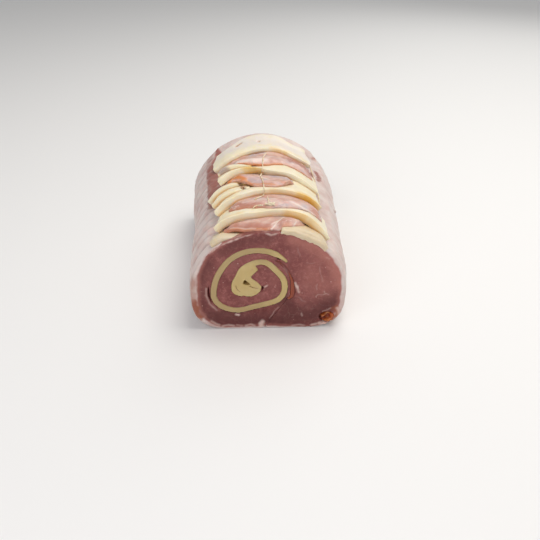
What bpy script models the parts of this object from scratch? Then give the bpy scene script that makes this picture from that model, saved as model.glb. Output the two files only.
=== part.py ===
"""Raw rolled pork loin, stuffed with cheese and ham, topped with overlapping slices and tied.

Sizes are in millimetres and become metres when a mesh is made. The roast lies along Y with
its cut face towards -Y, X runs across it and Z is up. Its section is written in polar form
round a core line, so a place on its skin is an angle, a distance from the cut face and a height.
"""

from dataclasses import dataclass
from math import cos, pi, sin

import bmesh
import bpy
import numpy as np

# Driving dimensions of the roast
ROAST_LENGTH = 177.0
HALF_WIDTH = 52.0
CORE_HEIGHT = 30.0
CROWN_RISE = 43.0
BASE_DROP = 31.5
BASE_SQUARENESS = {"left": 4.0, "right": 3.8}
WIDTH_ALONG = ((0.0, 1.0), (0.15, 1.035), (0.35, 1.05), (0.7, 1.1), (1.0, 1.128))
CROWN_ALONG = ((0.0, 1.0), (0.35, 1.08), (0.7, 1.12), (1.0, 1.12))
CROWN_POWER = {"front": 2.0, "back": 1.82}
CORE_BEND = 1.6
EDGE_ROUNDING = 0.9
EDGE_RUN = 1.2

# Ribs that the tying net pressed into the fat, over four ranges of angle
RIB_COUNT = 14
RIB_DEPTH = 1.3
RIB_SHARPNESS = 0.6
RIB_SLANT = 7.0
RIB_PHASES = (0.0, 0.3, 0.7)
LEFT_RIBS = (138.0, 156.0, 205.0, 228.0)
RIGHT_RIBS = (318.0, 340.0, 374.0, 392.0)
RIGHT_RIB_SHARE = 0.4
RING_STEPS = 50

# Slow unevenness of the meat: height, wavelength over two pi, turns round the section
LUMPS = ((0.45, 19.0, 2.1), (0.35, 11.0, 3.0))
LUMP_START = 12.0

# Spiral of cheese: radius of its middle line at every twelfth of a turn, from its outer end
SPIRAL_CENTRE = (-11.2, 36.0)
SPIRAL_FIRST = 30.0
SPIRAL_STEP = 30.0
SPIRAL_RADII = (
    *(28.3, 26.0, 23.7, 22.3, 21.7, 23.6, 27.2, 23.9, 18.8, 19.0),
    *(22.9, 21.9, 18.6, 17.8, 14.0, 11.5, 9.5, 10.5, 12.0, 9.6),
)
SPIRAL_START = 33.0
SPIRAL_END = 596.0
SPIRAL_POINTS = 61
CHEESE_HALF = 2.05
TIP_SHARE = 0.4
TAPER_TURN = 22.0

# Inner end of the cheese: a second sheet against the spiral, then the fold to its tip
SHEET_LINE = (
    *((-14.6, 45.0), (-16.6, 40.6), (-18.4, 36.8), (-18.7, 33.6)),
    *((-15.6, 32.2), (-12.0, 32.0), (-8.4, 30.8)),
)
SHEET_HALF = (1.8, 1.9, 2.1, 2.6, 2.6, 2.1, 1.8)
FOLD_LINE = (
    *((-19.4, 30.3), (-13.4, 28.1), (-8.6, 29.1), (-6.3, 32.6)),
    *((-9.4, 35.9), (-13.1, 39.6), (-12.6, 43.6), (-7.4, 47.6)),
)
FOLD_HALF = (2.2, 2.5, 2.4, 2.2, 2.0, 2.2, 3.2, 2.1)

# Seam of the roll, and the ham that lies in it and under the outer end of the cheese
SEAM_LINE = ((-3.2, -2.0), (-0.9, 3.0), (2.0, 8.0), (5.9, 13.6), (9.3, 18.4), (12.6, 23.2))
SEAM_HALF = 0.3
HAM_LINE = (
    *((12.6, 23.4), (15.1, 24.4), (16.1, 28.0), (16.1, 32.3), (15.6, 37.3)),
    *((13.9, 42.3), (11.0, 47.2), (7.6, 50.9), (4.7, 52.5)),
)
HAM_HALF = (0.8, 1.3, 1.5, 1.2, 0.9, 0.7, 0.6, 0.55, 0.45)
HAM_POCKET = (0.2, 0.5, 0.8, 0.6, 0.1, 0.0, 0.0, 0.0, 0.0)
LINE_POINTS = 17
SLOT_MARGIN = 5.0

# Layering of the slices on the crown
GAP = 0.4
CROWN_LEFT = 143.0
CROWN_RIGHT = 34.0
CROWN_BLEND = 4.0
CROWN_SINK = 2.2
SINK_FRONT = (3.0, 9.0)
SINK_BACK = (164.0, 172.0)
DRAPE_REACH = 4
MAP_ANGLE_STEP = 2.0
MAP_MARGIN = 9.0
MAP_END = 4.0

# Section of a slice: shares of its length, and of its thickness round its lip
SLICE_ROWS = (0.0, 0.16, 0.36, 0.58, 0.8, 1.0)
LIP_RUNS = (0.3, 0.0, 0.3)
LIP_HEIGHTS = (0.18, 0.5, 0.84)
NOSE_SHARE = 0.45
NOSE_MOST = 1.5
THIN_FROM = 0.35
THIN_ENDS = 0.12

# Twine
TWINE_RADIUS = 0.42
TWINE_STEP = 4.5
TWINE_REACH = (2, 1)
TWINE_SIDES = 60
CENTRE_TWINE = (
    *((100.2, 36.5), (96.4, 42.0), (92.8, 48.0), (92.6, 57.0)),
    *((95.0, 75.0), (93.0, 90.0), (91.0, 110.0), (88.0, 130.0)),
)
RIGHT_TWINE = ((38.5, 70.0), (39.5, 98.0), (40.5, 126.0), (41.5, 152.0))
SHORT_TWINE = ((88.8, 26.6), (89.4, 33.0), (90.0, 40.0))
TAIL_TWINE = ((93.8, 24.0), (97.5, 23.6), (101.5, 22.6))
KNOT_PLACE = (88.4, 23.6)
KNOT_SIZE = (2.6, 1.4, 1.2)
KNOT_LIFT = 1.45
KNOT_SHIFT = 1.3
KNOT_TURN = 0.5

# Scrap of ham in the pocket at the lower right corner
SCRAP_CENTRE = (39.6, 6.0, 8.2)
SCRAP_SIZE = (5.6, 10.0, 4.4)
SCRAP_FACE = 0.3

TO_METRES = 0.001


@dataclass(frozen=True)
class Slice:
    """One slice on the crown: its two end angles, its front edge at even steps, and its sizes.

    The thin_ values are shares of the thickness that are left at the back and at the two ends.
    """

    name: str
    left: float
    right: float
    front: tuple
    length: float
    thickness: float
    thin_back: float = 0.35
    thin_left: float = 0.8
    thin_right: float = 0.5
    thin_run: float = 0.2
    columns: int = 12


CHEESE = 3.5
THIN_CHEESE = 3.2
STRIP_CHEESE = 2.3
HAM = 1.6
THICK_HAM = 2.8
STRIP_ENDS = {"thin_right": 0.4, "thin_run": 0.7, "columns": 5}
SLICES = (
    Slice("cheese_slice_1", 76.0, 38.0, (0.0, 0.0, 0.0, 0.0), 17.0, CHEESE, columns=6),
    Slice(
        *("cheese_slice_2", 139.0, 114.0, (0.8, 0.0, 0.0), 14.0, THIN_CHEESE),
        **{"thin_right": 0.3, "thin_run": 0.7, "columns": 4},
    ),
    Slice(
        *("ham_slice_1", 127.0, 57.0, (8.0, 5.0, 0.8, 0.0, 0.0, 3.0, 15.0), 30.0, THICK_HAM),
        columns=18,
    ),
    Slice(
        *("cheese_slice_3", 133.5, 37.0, (14.0, 18.0, 20.0, 22.0, 22.0, 18.0, 13.0), 30.0, CHEESE),
        columns=15,
    ),
    Slice("ham_slice_2", 121.0, 42.0, (30.0, 28.0, 25.5, 25.5, 28.5, 31.0, 33.0), 32.0, HAM),
    Slice("cheese_slice_4", 130.5, 43.0, (37.0, 43.0, 48.5, 51.5, 52.0, 51.5, 50.5), 32.0, CHEESE),
    Slice("cheese_slice_5", 132.5, 104.0, (48.0, 53.0, 59.0), 24.0, STRIP_CHEESE, **STRIP_ENDS),
    Slice("cheese_slice_6", 135.0, 104.0, (58.0, 63.0, 68.0), 22.0, STRIP_CHEESE, **STRIP_ENDS),
    Slice("ham_slice_3", 129.0, 66.0, (75.0, 73.0, 64.5, 57.5, 55.0, 56.0, 63.0), 28.0, HAM),
    Slice(
        *("cheese_slice_7", 128.5, 42.0, (71.0, 79.0, 87.0, 89.0, 88.0, 80.0, 78.0), 32.0),
        thickness=THIN_CHEESE,
    ),
    Slice("cheese_slice_8", 131.0, 96.0, (80.0, 85.0, 92.0), 24.0, 2.6, **STRIP_ENDS),
    Slice("ham_slice_4", 127.0, 45.0, (112.0, 98.0, 95.0, 99.0, 104.0, 100.0, 99.0), 36.0, HAM),
    Slice(
        *("cheese_slice_9", 137.0, 39.0, (125.0, 127.0, 133.0, 135.0, 134.0, 128.0, 131.0), 38.0),
        **{"thickness": THIN_CHEESE, "thin_run": 0.4, "columns": 16},
    ),
)


def smooth_value(positions, values, at):
    """Value at a position on the cubic that runs through the given pairs."""
    positions = np.asarray(positions, float)
    values = np.asarray(values, float)
    slopes = np.gradient(values, positions)
    at = np.clip(at, positions[0], positions[-1])
    index = np.clip(np.searchsorted(positions, at, side="right") - 1, 0, len(positions) - 2)
    step = positions[index + 1] - positions[index]
    part = (at - positions[index]) / step
    rest = 1.0 - part
    start = values[index] * (1.0 + 2.0 * part) * rest**2 + slopes[index] * step * part * rest**2
    end = values[index + 1] * (1.0 + 2.0 * rest) * part**2 - slopes[index + 1] * step * rest * part**2
    return start + end


def smooth_line(points, count):
    """Points at even steps on the smooth curve through a few points."""
    points = np.asarray(points, float)
    runs = np.concatenate([[0.0], np.cumsum(np.linalg.norm(np.diff(points, axis=0), axis=1))])
    places = np.linspace(0.0, runs[-1], count)
    columns = [smooth_value(runs, column, places) for column in points.T]
    return np.stack(columns, axis=1)


def ease(value, start, end):
    """A smooth step from 0 at start to 1 at end."""
    part = np.clip((value - start) / (end - start), 0.0, 1.0)
    return part * part * (3.0 - 2.0 * part)


def superellipse(angle, across, rise, power):
    """Radius of a rounded outline from its two half sizes and its squareness."""
    part = (np.abs(np.cos(angle)) / across) ** power + (np.abs(np.sin(angle)) / rise) ** power
    return part ** (-1.0 / power)


def skin_radius(angle, along):
    """Distance of the bare skin from the core line, at an angle in degrees and a distance along."""
    share = np.clip(np.asarray(along, float) / ROAST_LENGTH, 0.0, 1.0)
    width = HALF_WIDTH * smooth_value(*zip(*WIDTH_ALONG), share)
    crown = CROWN_RISE * smooth_value(*zip(*CROWN_ALONG), share)
    roof = CROWN_POWER["front"] + (CROWN_POWER["back"] - CROWN_POWER["front"]) * ease(share, 0.4, 1.0)
    turn = np.radians(angle)
    base = np.where(np.cos(turn) < 0.0, BASE_SQUARENESS["left"], BASE_SQUARENESS["right"])
    above = superellipse(turn, width, crown, roof)
    below = superellipse(turn, width, BASE_DROP, base)
    return np.where(np.sin(turn) >= 0.0, above, below)


def crown_share(angle):
    """1 where the slices lie on the crown, 0 on the sides and the base."""
    right = ease(angle, CROWN_RIGHT - CROWN_BLEND, CROWN_RIGHT)
    return right * (1.0 - ease(angle, CROWN_LEFT - CROWN_BLEND, CROWN_LEFT))


def side_share(angle):
    """How deep the net marked the skin: most on the left side, a little on the right."""
    share = 0.0
    for turn in (0.0, 360.0):
        for marks, depth in ((LEFT_RIBS, 1.0), (RIGHT_RIBS, RIGHT_RIB_SHARE)):
            low, low_full, high_full, high = marks
            here = angle + turn
            share = share + depth * ease(here, low, low_full) * (1.0 - ease(here, high_full, high))
    return share


def rib_relief(angle, along):
    """Rounded ribs between the grooves of the net."""
    phase = np.mod(along * RIB_COUNT / ROAST_LENGTH, 1.0)
    return -RIB_DEPTH * side_share(angle) * (1.0 - np.sin(pi * phase) ** RIB_SHARPNESS)


def rib_slant(angle, along):
    """How far a rib leans along the roast at an angle."""
    lean = sin(pi * along / ROAST_LENGTH) * np.sin(np.radians(angle - 180.0))
    return RIB_SLANT * side_share(angle) * lean


def lumps(angle, along):
    """Slow unevenness of the meat along the roast."""
    turn = np.radians(angle)
    (high, run, lean), (low, short_run, turns) = LUMPS
    slow = high * np.sin(along / run + lean * np.sin(turn))
    slow = slow + low * np.sin(along / short_run + turns * turn)
    return slow * (1.0 - crown_share(angle)) * ease(along, 0.0, LUMP_START)


def crown_sink(angle, along):
    """How far the slices are pressed into the crown."""
    return -CROWN_SINK * crown_share(angle) * ease(along, *SINK_FRONT) * (1.0 - ease(along, *SINK_BACK))


def place(angle, along, radius):
    """A point from its angle in degrees, its distance along and its distance from the core line."""
    bend = CORE_BEND * np.sin(pi * np.clip(along / ROAST_LENGTH, 0.0, 1.0))
    x = radius * np.cos(np.radians(angle)) + bend
    z = np.maximum(CORE_HEIGHT + radius * np.sin(np.radians(angle)), 0.0)
    return np.stack([x, along + np.zeros_like(x), z], axis=-1)


class LayerMap:
    """Heights over the bare skin of the crown, on which the slices are laid one after another."""

    def __init__(self):
        self.angles = np.arange(CROWN_RIGHT - MAP_MARGIN, CROWN_LEFT + MAP_MARGIN, MAP_ANGLE_STEP)
        self.along = np.arange(-MAP_END, ROAST_LENGTH + MAP_END, 1.0)
        self.angle, self.y = np.meshgrid(self.angles, self.along, indexing="ij")
        self.heights = crown_sink(self.angle, self.y)

    @staticmethod
    def spread(values, reach, choose):
        """Each value replaced by the highest, or the mean, of those round it."""
        padded = np.pad(values, reach, mode="edge")
        rows, columns = values.shape
        shifted = [
            padded[i : i + rows, j : j + columns]
            for i in range(2 * reach + 1)
            for j in range(2 * reach + 1)
        ]
        return choose(np.stack(shifted), axis=0)

    def draped(self, over=DRAPE_REACH, smooth=DRAPE_REACH):
        """The underside of a soft piece laid now: it bridges what is under it and keeps its gap."""
        highest = self.spread(self.heights, over, np.max)
        return self.spread(highest, smooth, np.mean) + GAP

    def read(self, values, angle, along):
        """Value between the map's points."""
        column = (np.asarray(angle, float) - self.angles[0]) / MAP_ANGLE_STEP
        row = np.asarray(along, float) - self.along[0]
        column = np.clip(column, 0, len(self.angles) - 1.001)
        row = np.clip(row, 0, len(self.along) - 1.001)
        i = column.astype(int)
        j = row.astype(int)
        near = values[i, j] + (values[i + 1, j] - values[i, j]) * (column - i)
        far = values[i, j + 1] + (values[i + 1, j + 1] - values[i, j + 1]) * (column - i)
        return near + (far - near) * (row - j)

    def lay(self, piece):
        """Puts a slice on the map and gives its underside."""
        under = self.draped()
        behind = self.y - front_edge(piece, self.angle)
        inside = (behind >= 0.0) & (behind <= piece.length)
        inside &= (self.angle <= piece.left) & (self.angle >= piece.right)
        top = under + slice_thickness(piece, self.angle, behind)
        self.heights = np.where(inside, np.maximum(self.heights, top), self.heights)
        return under


def front_edge(piece, angle):
    """Distance of a slice's front edge from the cut face."""
    steps = np.linspace(piece.left, piece.right, len(piece.front))[::-1]
    return smooth_value(steps, piece.front[::-1], angle)


def slice_thickness(piece, angle, behind):
    """A slice thins to its hidden back edge and to its two ends."""
    across = np.clip((piece.left - angle) / (piece.left - piece.right), 0.0, 1.0)
    back = 1.0 - (1.0 - piece.thin_back) * ease(behind, THIN_FROM * piece.length, piece.length)
    left = 1.0 - (1.0 - piece.thin_left) * ease(1.0 - across, 1.0 - THIN_ENDS, 1.0)
    right = 1.0 - (1.0 - piece.thin_right) * ease(across, 1.0 - piece.thin_run, 1.0)
    return piece.thickness * back * left * right


def new_object(name, mesh, collection):
    """Puts a mesh in the scene as a named object."""
    obj = bpy.data.objects.new(name, mesh)
    collection.objects.link(obj)
    return obj


def loft(name, sections, collection):
    """A closed solid through a row of closed sections that have the same number of points."""
    shape = bmesh.new()
    rings = [[shape.verts.new(point * TO_METRES) for point in section] for section in sections]
    count = len(rings[0])
    for near, far in zip(rings, rings[1:]):
        for i in range(count):
            j = (i + 1) % count
            shape.faces.new((near[i], near[j], far[j], far[i]))
    shape.faces.new(rings[0][::-1])
    shape.faces.new(rings[-1])
    bmesh.ops.recalc_face_normals(shape, faces=shape.faces)
    mesh = bpy.data.meshes.new(name)
    shape.to_mesh(mesh)
    shape.free()
    return new_object(name, mesh, collection)


def evaluated_copy(obj):
    """The object's mesh with its modifiers or its bevel worked out."""
    graph = bpy.context.evaluated_depsgraph_get()
    return bpy.data.meshes.new_from_object(obj.evaluated_get(graph))


def prism(name, outline, collection, margin=0.0):
    """A flat outline in the section plane, drawn out along the roast."""
    curve = bpy.data.curves.new(name, "CURVE")
    curve.dimensions = "2D"
    curve.fill_mode = "BOTH"
    curve.extrude = (ROAST_LENGTH / 2.0 + margin) * TO_METRES
    spline = curve.splines.new("POLY")
    spline.points.add(len(outline) - 1)
    for point, (x, z) in zip(spline.points, outline):
        point.co = (x * TO_METRES, z * TO_METRES, 0.0, 1.0)
    spline.use_cyclic_u = True
    guide = new_object(name + "_outline", curve, collection)
    mesh = evaluated_copy(guide)
    bpy.data.objects.remove(guide)
    shape = bmesh.new()
    shape.from_mesh(mesh)
    bmesh.ops.remove_doubles(shape, verts=shape.verts, dist=1e-6)
    for vertex in shape.verts:
        x, z, y = vertex.co
        vertex.co = (x, ROAST_LENGTH / 2.0 * TO_METRES - y, z)
    bmesh.ops.recalc_face_normals(shape, faces=shape.faces)
    shape.to_mesh(mesh)
    shape.free()
    return new_object(name, mesh, collection)


def headings(line):
    """Unit direction of a line at each of its points."""
    heading = np.gradient(line, axis=0)
    return heading / np.linalg.norm(heading, axis=1)[:, None]


def beside(line, distance):
    """A line that runs at a distance to the right of another."""
    heading = headings(line)
    return line + np.stack([heading[:, 1], -heading[:, 0]], axis=1) * distance


def strip_outline(line, half, grow=0.0):
    """Outline of a strip: its middle line moved out to both sides, grown all round for a slot."""
    line = np.array(line, float)
    heading = headings(line)
    width = np.broadcast_to(half, len(line))[:, None] + grow
    line[0] -= heading[0] * grow
    line[-1] += heading[-1] * grow
    return np.vstack([beside(line, -width), beside(line, width)[::-1]])


def combine(target, other, operation):
    """Adds a Boolean modifier and works it out at once."""
    step = target.modifiers.new(other.name, "BOOLEAN")
    step.operation = operation
    step.object = other
    mesh = evaluated_copy(target)
    target.modifiers.clear()
    old = target.data
    target.data = mesh
    bpy.data.meshes.remove(old)


def cut(target, *cutters):
    """Takes the cutters out of a solid."""
    for cutter in cutters:
        combine(target, cutter, "DIFFERENCE")


def drop_scraps(obj):
    """Leaves only the largest body of a mesh that a cut has split."""
    shape = bmesh.new()
    shape.from_mesh(obj.data)
    waiting = set(shape.verts)
    bodies = []
    while waiting:
        body = {waiting.pop()}
        edge = list(body)
        while edge:
            vertex = edge.pop()
            near = {link.other_vert(vertex) for link in vertex.link_edges} - body
            body |= near
            edge.extend(near)
        waiting -= body
        bodies.append(body)
    largest = max(bodies, key=len)
    loose = [vertex for vertex in shape.verts if vertex not in largest]
    bmesh.ops.delete(shape, geom=loose, context="VERTS")
    shape.to_mesh(obj.data)
    shape.free()


def spiral_line():
    """Middle line of the cheese from its outer end inwards, with the angle of each point."""
    angles = np.linspace(SPIRAL_START, SPIRAL_END, SPIRAL_POINTS)
    marks = SPIRAL_FIRST + SPIRAL_STEP * np.arange(len(SPIRAL_RADII))
    radii = smooth_value(marks, SPIRAL_RADII, angles)
    x = SPIRAL_CENTRE[0] + radii * np.cos(np.radians(angles))
    z = SPIRAL_CENTRE[1] + radii * np.sin(np.radians(angles))
    return np.stack([x, z], axis=1), angles


def strip(line, half, grow=0.0):
    """Outline of a strip along a smooth line, with a half width that changes along it."""
    steps = np.linspace(0.0, 1.0, len(half))
    width = smooth_value(steps, half, np.linspace(0.0, 1.0, LINE_POINTS))
    return strip_outline(smooth_line(line, LINE_POINTS), width, grow)


def cheese_outlines(grow=0.0):
    """The rolled band of cheese, its inner sheet and its folded end, as outlines that overlap."""
    line, angles = spiral_line()
    taper = TIP_SHARE + (1.0 - TIP_SHARE) * ease(angles, SPIRAL_START, SPIRAL_START + TAPER_TURN)
    band = strip_outline(line, CHEESE_HALF * taper, grow)
    return band, strip(SHEET_LINE, SHEET_HALF, grow), strip(FOLD_LINE, FOLD_HALF, grow)


def ring_places():
    """Distances of the loin's rings from the cut face: three on each rib, and the rounded ends."""
    pitch = ROAST_LENGTH / RIB_COUNT
    ribs = [pitch * (rib + phase) for rib in range(RIB_COUNT) for phase in RIB_PHASES]
    inner = [along for along in ribs if along > 2.0 * EDGE_RUN]
    return [0.0, EDGE_RUN] + inner + [ROAST_LENGTH - EDGE_RUN, ROAST_LENGTH]


def make_loin(collection):
    """The rolled meat before the filling and the slices are taken out of it."""
    angles = np.arange(RING_STEPS) * 360.0 / RING_STEPS
    sections = []
    for along in ring_places():
        rounding = EDGE_ROUNDING if along in (0.0, ROAST_LENGTH) else 0.0
        relief = rib_relief(angles, along) + lumps(angles, along) + crown_sink(angles, along)
        radius = skin_radius(angles, along) + relief - rounding
        sections.append(place(angles, along + rib_slant(angles, along), radius))
    return loft("pork_loin", sections, collection)


def make_slice(layers, piece, collection):
    """A draped slice: sections across it, from its left end to its right end."""
    under = layers.lay(piece)
    nose = min(piece.thickness * NOSE_SHARE, NOSE_MOST)
    rows = np.maximum(piece.length * np.array(SLICE_ROWS), nose)
    lip_runs = nose * np.array(LIP_RUNS)
    sections = []
    for angle in np.linspace(piece.left, piece.right, piece.columns + 1):
        edge = front_edge(piece, angle)
        bottom = layers.read(under, np.full(len(rows), angle), edge + rows)
        top = bottom + slice_thickness(piece, angle, rows)
        lip = layers.read(under, angle, edge)
        lip = lip + slice_thickness(piece, angle, 0.0) * np.array(LIP_HEIGHTS)
        along = edge + np.concatenate([rows[::-1], lip_runs, rows])
        height = np.concatenate([bottom[::-1], lip, top])
        sections.append(place(angle, along, skin_radius(angle, along) + height))
    return loft(piece.name, sections, collection)


def twine(name, route, layers, collection):
    """A thread laid over the slices, just clear of them."""
    route = smooth_line(route, TWINE_SIDES)
    over = layers.draped(*TWINE_REACH)
    rise = layers.read(over, route[:, 0], route[:, 1]) + TWINE_RADIUS
    points = place(route[:, 0], route[:, 1], skin_radius(route[:, 0], route[:, 1]) + rise)
    length = np.linalg.norm(np.diff(points, axis=0), axis=1).sum()
    points = smooth_line(points, max(4, int(length / TWINE_STEP)))
    curve = bpy.data.curves.new(name, "CURVE")
    curve.dimensions = "3D"
    curve.bevel_depth = TWINE_RADIUS * TO_METRES
    curve.bevel_resolution = 1
    curve.use_fill_caps = True
    spline = curve.splines.new("POLY")
    spline.points.add(len(points) - 1)
    for point, (x, y, z) in zip(spline.points, points * TO_METRES):
        point.co = (x, y, z, 1.0)
    return new_object(name, curve, collection)


def lump(name, centre, size, collection, turn=0.0):
    """An uneven rounded piece: a sphere stretched to three half sizes and turned about Z."""
    shape = bmesh.new()
    bmesh.ops.create_icosphere(shape, subdivisions=2, radius=1.0)
    for vertex in shape.verts:
        x, y, z = np.array(vertex.co) * size
        vertex.co = (x * cos(turn) - y * sin(turn), x * sin(turn) + y * cos(turn), z)
        vertex.co = (np.array(vertex.co) + centre) * TO_METRES
    mesh = bpy.data.meshes.new(name)
    shape.to_mesh(mesh)
    shape.free()
    return new_object(name, mesh, collection)


def make_knot(layers, collection, cutters):
    """The knot of the twine: three rounded turns pulled together."""
    angle, along = KNOT_PLACE
    rise = layers.read(layers.draped(*TWINE_REACH), angle, along) + KNOT_LIFT
    centre = place(np.array(angle), along, skin_radius(angle, along) + rise)
    knot = lump("twine_knot", centre, KNOT_SIZE, collection)
    for side in (-1.0, 1.0):
        at = centre + np.array((side * KNOT_SHIFT, GAP, 0.0))
        side = lump("knot_turn", at, KNOT_SIZE, cutters, -side * KNOT_TURN)
        combine(knot, side, "UNION")
        bpy.data.objects.remove(side)
    return knot


def flat_front(obj, along):
    """Cuts a piece off flat where it meets the cut face."""
    shape = bmesh.new()
    shape.from_mesh(obj.data)
    geometry = shape.verts[:] + shape.edges[:] + shape.faces[:]
    plane = (0.0, along * TO_METRES, 0.0)
    outward = (0.0, -1.0, 0.0)
    bmesh.ops.bisect_plane(
        shape, geom=geometry, plane_co=plane, plane_no=outward, clear_outer=True
    )
    bmesh.ops.holes_fill(shape, edges=shape.edges[:])
    bmesh.ops.recalc_face_normals(shape, faces=shape.faces)
    shape.to_mesh(obj.data)
    shape.free()


def material(name, colour, roughness):
    """A plain finish from a linear colour."""
    finish = bpy.data.materials.new(name)
    finish.use_nodes = True
    shader = finish.node_tree.nodes["Principled BSDF"]
    shader.inputs["Base Color"].default_value = (*colour, 1.0)
    shader.inputs["Roughness"].default_value = roughness
    shader.inputs["Metallic"].default_value = 0.0
    return finish


def stand_on_origin(objects):
    """Moves all pieces so that the middle of the underside is the origin."""
    bpy.context.view_layer.update()
    meshes = [obj for obj in objects if obj.type == "MESH"]
    corners = np.array([vertex.co for obj in meshes for vertex in obj.data.vertices])
    low, high = corners.min(axis=0), corners.max(axis=0)
    shift = ((low[0] + high[0]) / 2.0, (low[1] + high[1]) / 2.0, low[2])
    for obj in objects:
        obj.location = [here - offset for here, offset in zip(obj.location, shift)]


def make_filling(roast, cutters):
    """The cheese and the ham that run through the roast, with the cutters of their slots."""
    band, sheet, fold = cheese_outlines()
    cheese = prism("cheese_spiral", band, roast)
    combine(cheese, prism("sheet", sheet, cutters), "UNION")
    combine(cheese, prism("fold", fold, cutters), "UNION")
    ham = prism("ham_filling", strip(HAM_LINE, HAM_HALF), roast)
    outlines = {f"cheese_slot_{i}": line for i, line in enumerate(cheese_outlines(grow=GAP))}
    outlines["ham_slot"] = strip(HAM_LINE, np.add(HAM_HALF, HAM_POCKET), grow=GAP)
    outlines["seam_slot"] = strip_outline(smooth_line(SEAM_LINE, LINE_POINTS), SEAM_HALF)
    slots = [
        prism(name, outline, cutters, margin=SLOT_MARGIN + step)
        for step, (name, outline) in enumerate(outlines.items())
    ]
    return cheese, ham, slots


def main():
    for obj in list(bpy.data.objects):
        bpy.data.objects.remove(obj)
    roast = bpy.data.collections.new("stuffed_pork_roast")
    cutters = bpy.data.collections.new("cutters")
    for collection in (roast, cutters):
        bpy.context.scene.collection.children.link(collection)

    loin = make_loin(roast)
    cheese, ham, slots = make_filling(roast, cutters)
    pocket = lump("scrap_pocket", SCRAP_CENTRE, np.add(SCRAP_SIZE, GAP), cutters)
    cut(loin, *slots, pocket)
    drop_scraps(loin)

    scrap = lump("ham_scrap", SCRAP_CENTRE, SCRAP_SIZE, roast)
    flat_front(scrap, SCRAP_FACE)

    layers = LayerMap()
    slices = [make_slice(layers, piece, roast) for piece in SLICES]
    routes = {
        "twine_centre": CENTRE_TWINE,
        "twine_right": RIGHT_TWINE,
        "twine_short": SHORT_TWINE,
        "twine_tail": TAIL_TWINE,
    }
    threads = [twine(name, route, layers, roast) for name, route in routes.items()]
    knot = make_knot(layers, roast, cutters)

    meat = material("raw_pork", (0.30, 0.12, 0.11), 0.45)
    cheese_finish = material("sliced_cheese", (0.72, 0.60, 0.34), 0.5)
    ham_finish = material("cooked_ham", (0.62, 0.32, 0.27), 0.45)
    string = material("cotton_twine", (0.75, 0.62, 0.45), 0.8)
    finishes = {loin: meat, cheese: cheese_finish, ham: ham_finish, scrap: ham_finish}
    finishes.update({piece: string for piece in (*threads, knot)})
    for obj in slices:
        finishes[obj] = cheese_finish if obj.name.startswith("cheese") else ham_finish
    for obj, finish in finishes.items():
        obj.data.materials.clear()
        obj.data.materials.append(finish)

    for cutter in cutters.objects:
        cutter.hide_render = True
        cutter.display_type = "WIRE"
    stand_on_origin(list(roast.objects))


main()
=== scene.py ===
import logging
import math
from dataclasses import dataclass
from enum import Enum
from typing import Dict, List, Optional, Sequence, Tuple, Union

import bmesh
import bpy
import numpy as np
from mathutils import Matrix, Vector
from mathutils.bvhtree import BVHTree
from mathutils.kdtree import KDTree


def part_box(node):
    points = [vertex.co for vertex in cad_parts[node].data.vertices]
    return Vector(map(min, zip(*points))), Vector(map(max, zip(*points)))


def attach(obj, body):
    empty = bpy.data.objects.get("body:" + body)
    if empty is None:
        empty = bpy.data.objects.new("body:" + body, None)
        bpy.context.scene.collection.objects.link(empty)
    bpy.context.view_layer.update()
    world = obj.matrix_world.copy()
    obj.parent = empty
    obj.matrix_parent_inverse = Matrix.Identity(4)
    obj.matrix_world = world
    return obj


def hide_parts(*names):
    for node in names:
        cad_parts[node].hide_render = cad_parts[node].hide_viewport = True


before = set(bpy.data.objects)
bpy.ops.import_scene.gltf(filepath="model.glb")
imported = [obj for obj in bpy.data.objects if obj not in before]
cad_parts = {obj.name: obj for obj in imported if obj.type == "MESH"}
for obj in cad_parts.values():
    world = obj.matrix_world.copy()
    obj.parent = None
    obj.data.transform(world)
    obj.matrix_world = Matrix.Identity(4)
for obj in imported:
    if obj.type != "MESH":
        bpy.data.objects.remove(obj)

# A raw pork loin, butterflied, rolled round cheese and ham, and dressed along its crown with
# slices of both. Lengths in this file are millimetres, and x runs across the cut face, y from
# the cut face to the back, and z up.

MM = 0.001
# The cut face and the back face, on y
FRONT = -88.37
BACK = 88.63
# The middle of the section, as x and z
CORE = (-0.4, 36.0)
# The line that the slices bend round, as x and z at both ends, and how far it bows to the right
CORE_LINE = (-0.4, 30.0)
CORE_BEND = 1.6
# One degree round the core line at the crown
CROWN_ARC = 0.85
# How far a cutter stands out past the end that it cuts
PAST_END = 3.0
# How far a mark's edge wanders, as a share of its width, and how long a swing is
MARK_WANDER = 0.25
MARK_SWING = 2.2
# How far round a mark the surface is looked at, beyond the mark's own reach
MARK_MARGIN = 1.5
# Edges shorter than this are joined when slivers are taken away
SLIVER = 0.002

Array = np.ndarray
Point2 = Tuple[float, float]
Point3 = Tuple[float, float, float]
Size = Union[float, Point3, Array]
# From where to where something fades in
Span = Tuple[float, float]
# A line as x and z on an end face, with its width, soft edge and strength
Stroke = Tuple[Tuple[Point2, ...], float, float, float]
Mesh = bpy.types.Object
Material = bpy.types.Material
Socket = bpy.types.NodeSocket
Value = Union[float, Tuple[float, ...], str, Socket]

log = logging.getLogger("roast")


class Tint(Enum):
    """What is kept for each vertex of a piece, by the name of the attribute that holds it."""

    # Pale membranes and streaks; on the cheese a painted highlight
    PALE = "pale"
    # A deep colour; on the cut face and on the cheese it is also painted shade
    DEEP = "deep"
    BROWN = "brown"
    MEAT = "bare"
    # Painted shade, by how closed in a place is
    RECESS_SHADE = "recess"
    # Darker muscle, and in places painted shade
    DARK_LEAN_AND_SHADE = "dark_lean_and_shade"
    ROSY_LEAN = "rosy_lean"
    # Painted golden shade under lips and in hollows
    GOLDEN_SHADE = "gold"
    # Painted shade in hollows, folds and between strands
    GROOVE_SHADE = "groove"
    FAT_DEPTH = "fat_depth"
    NOTHING = "unmarked"


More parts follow.
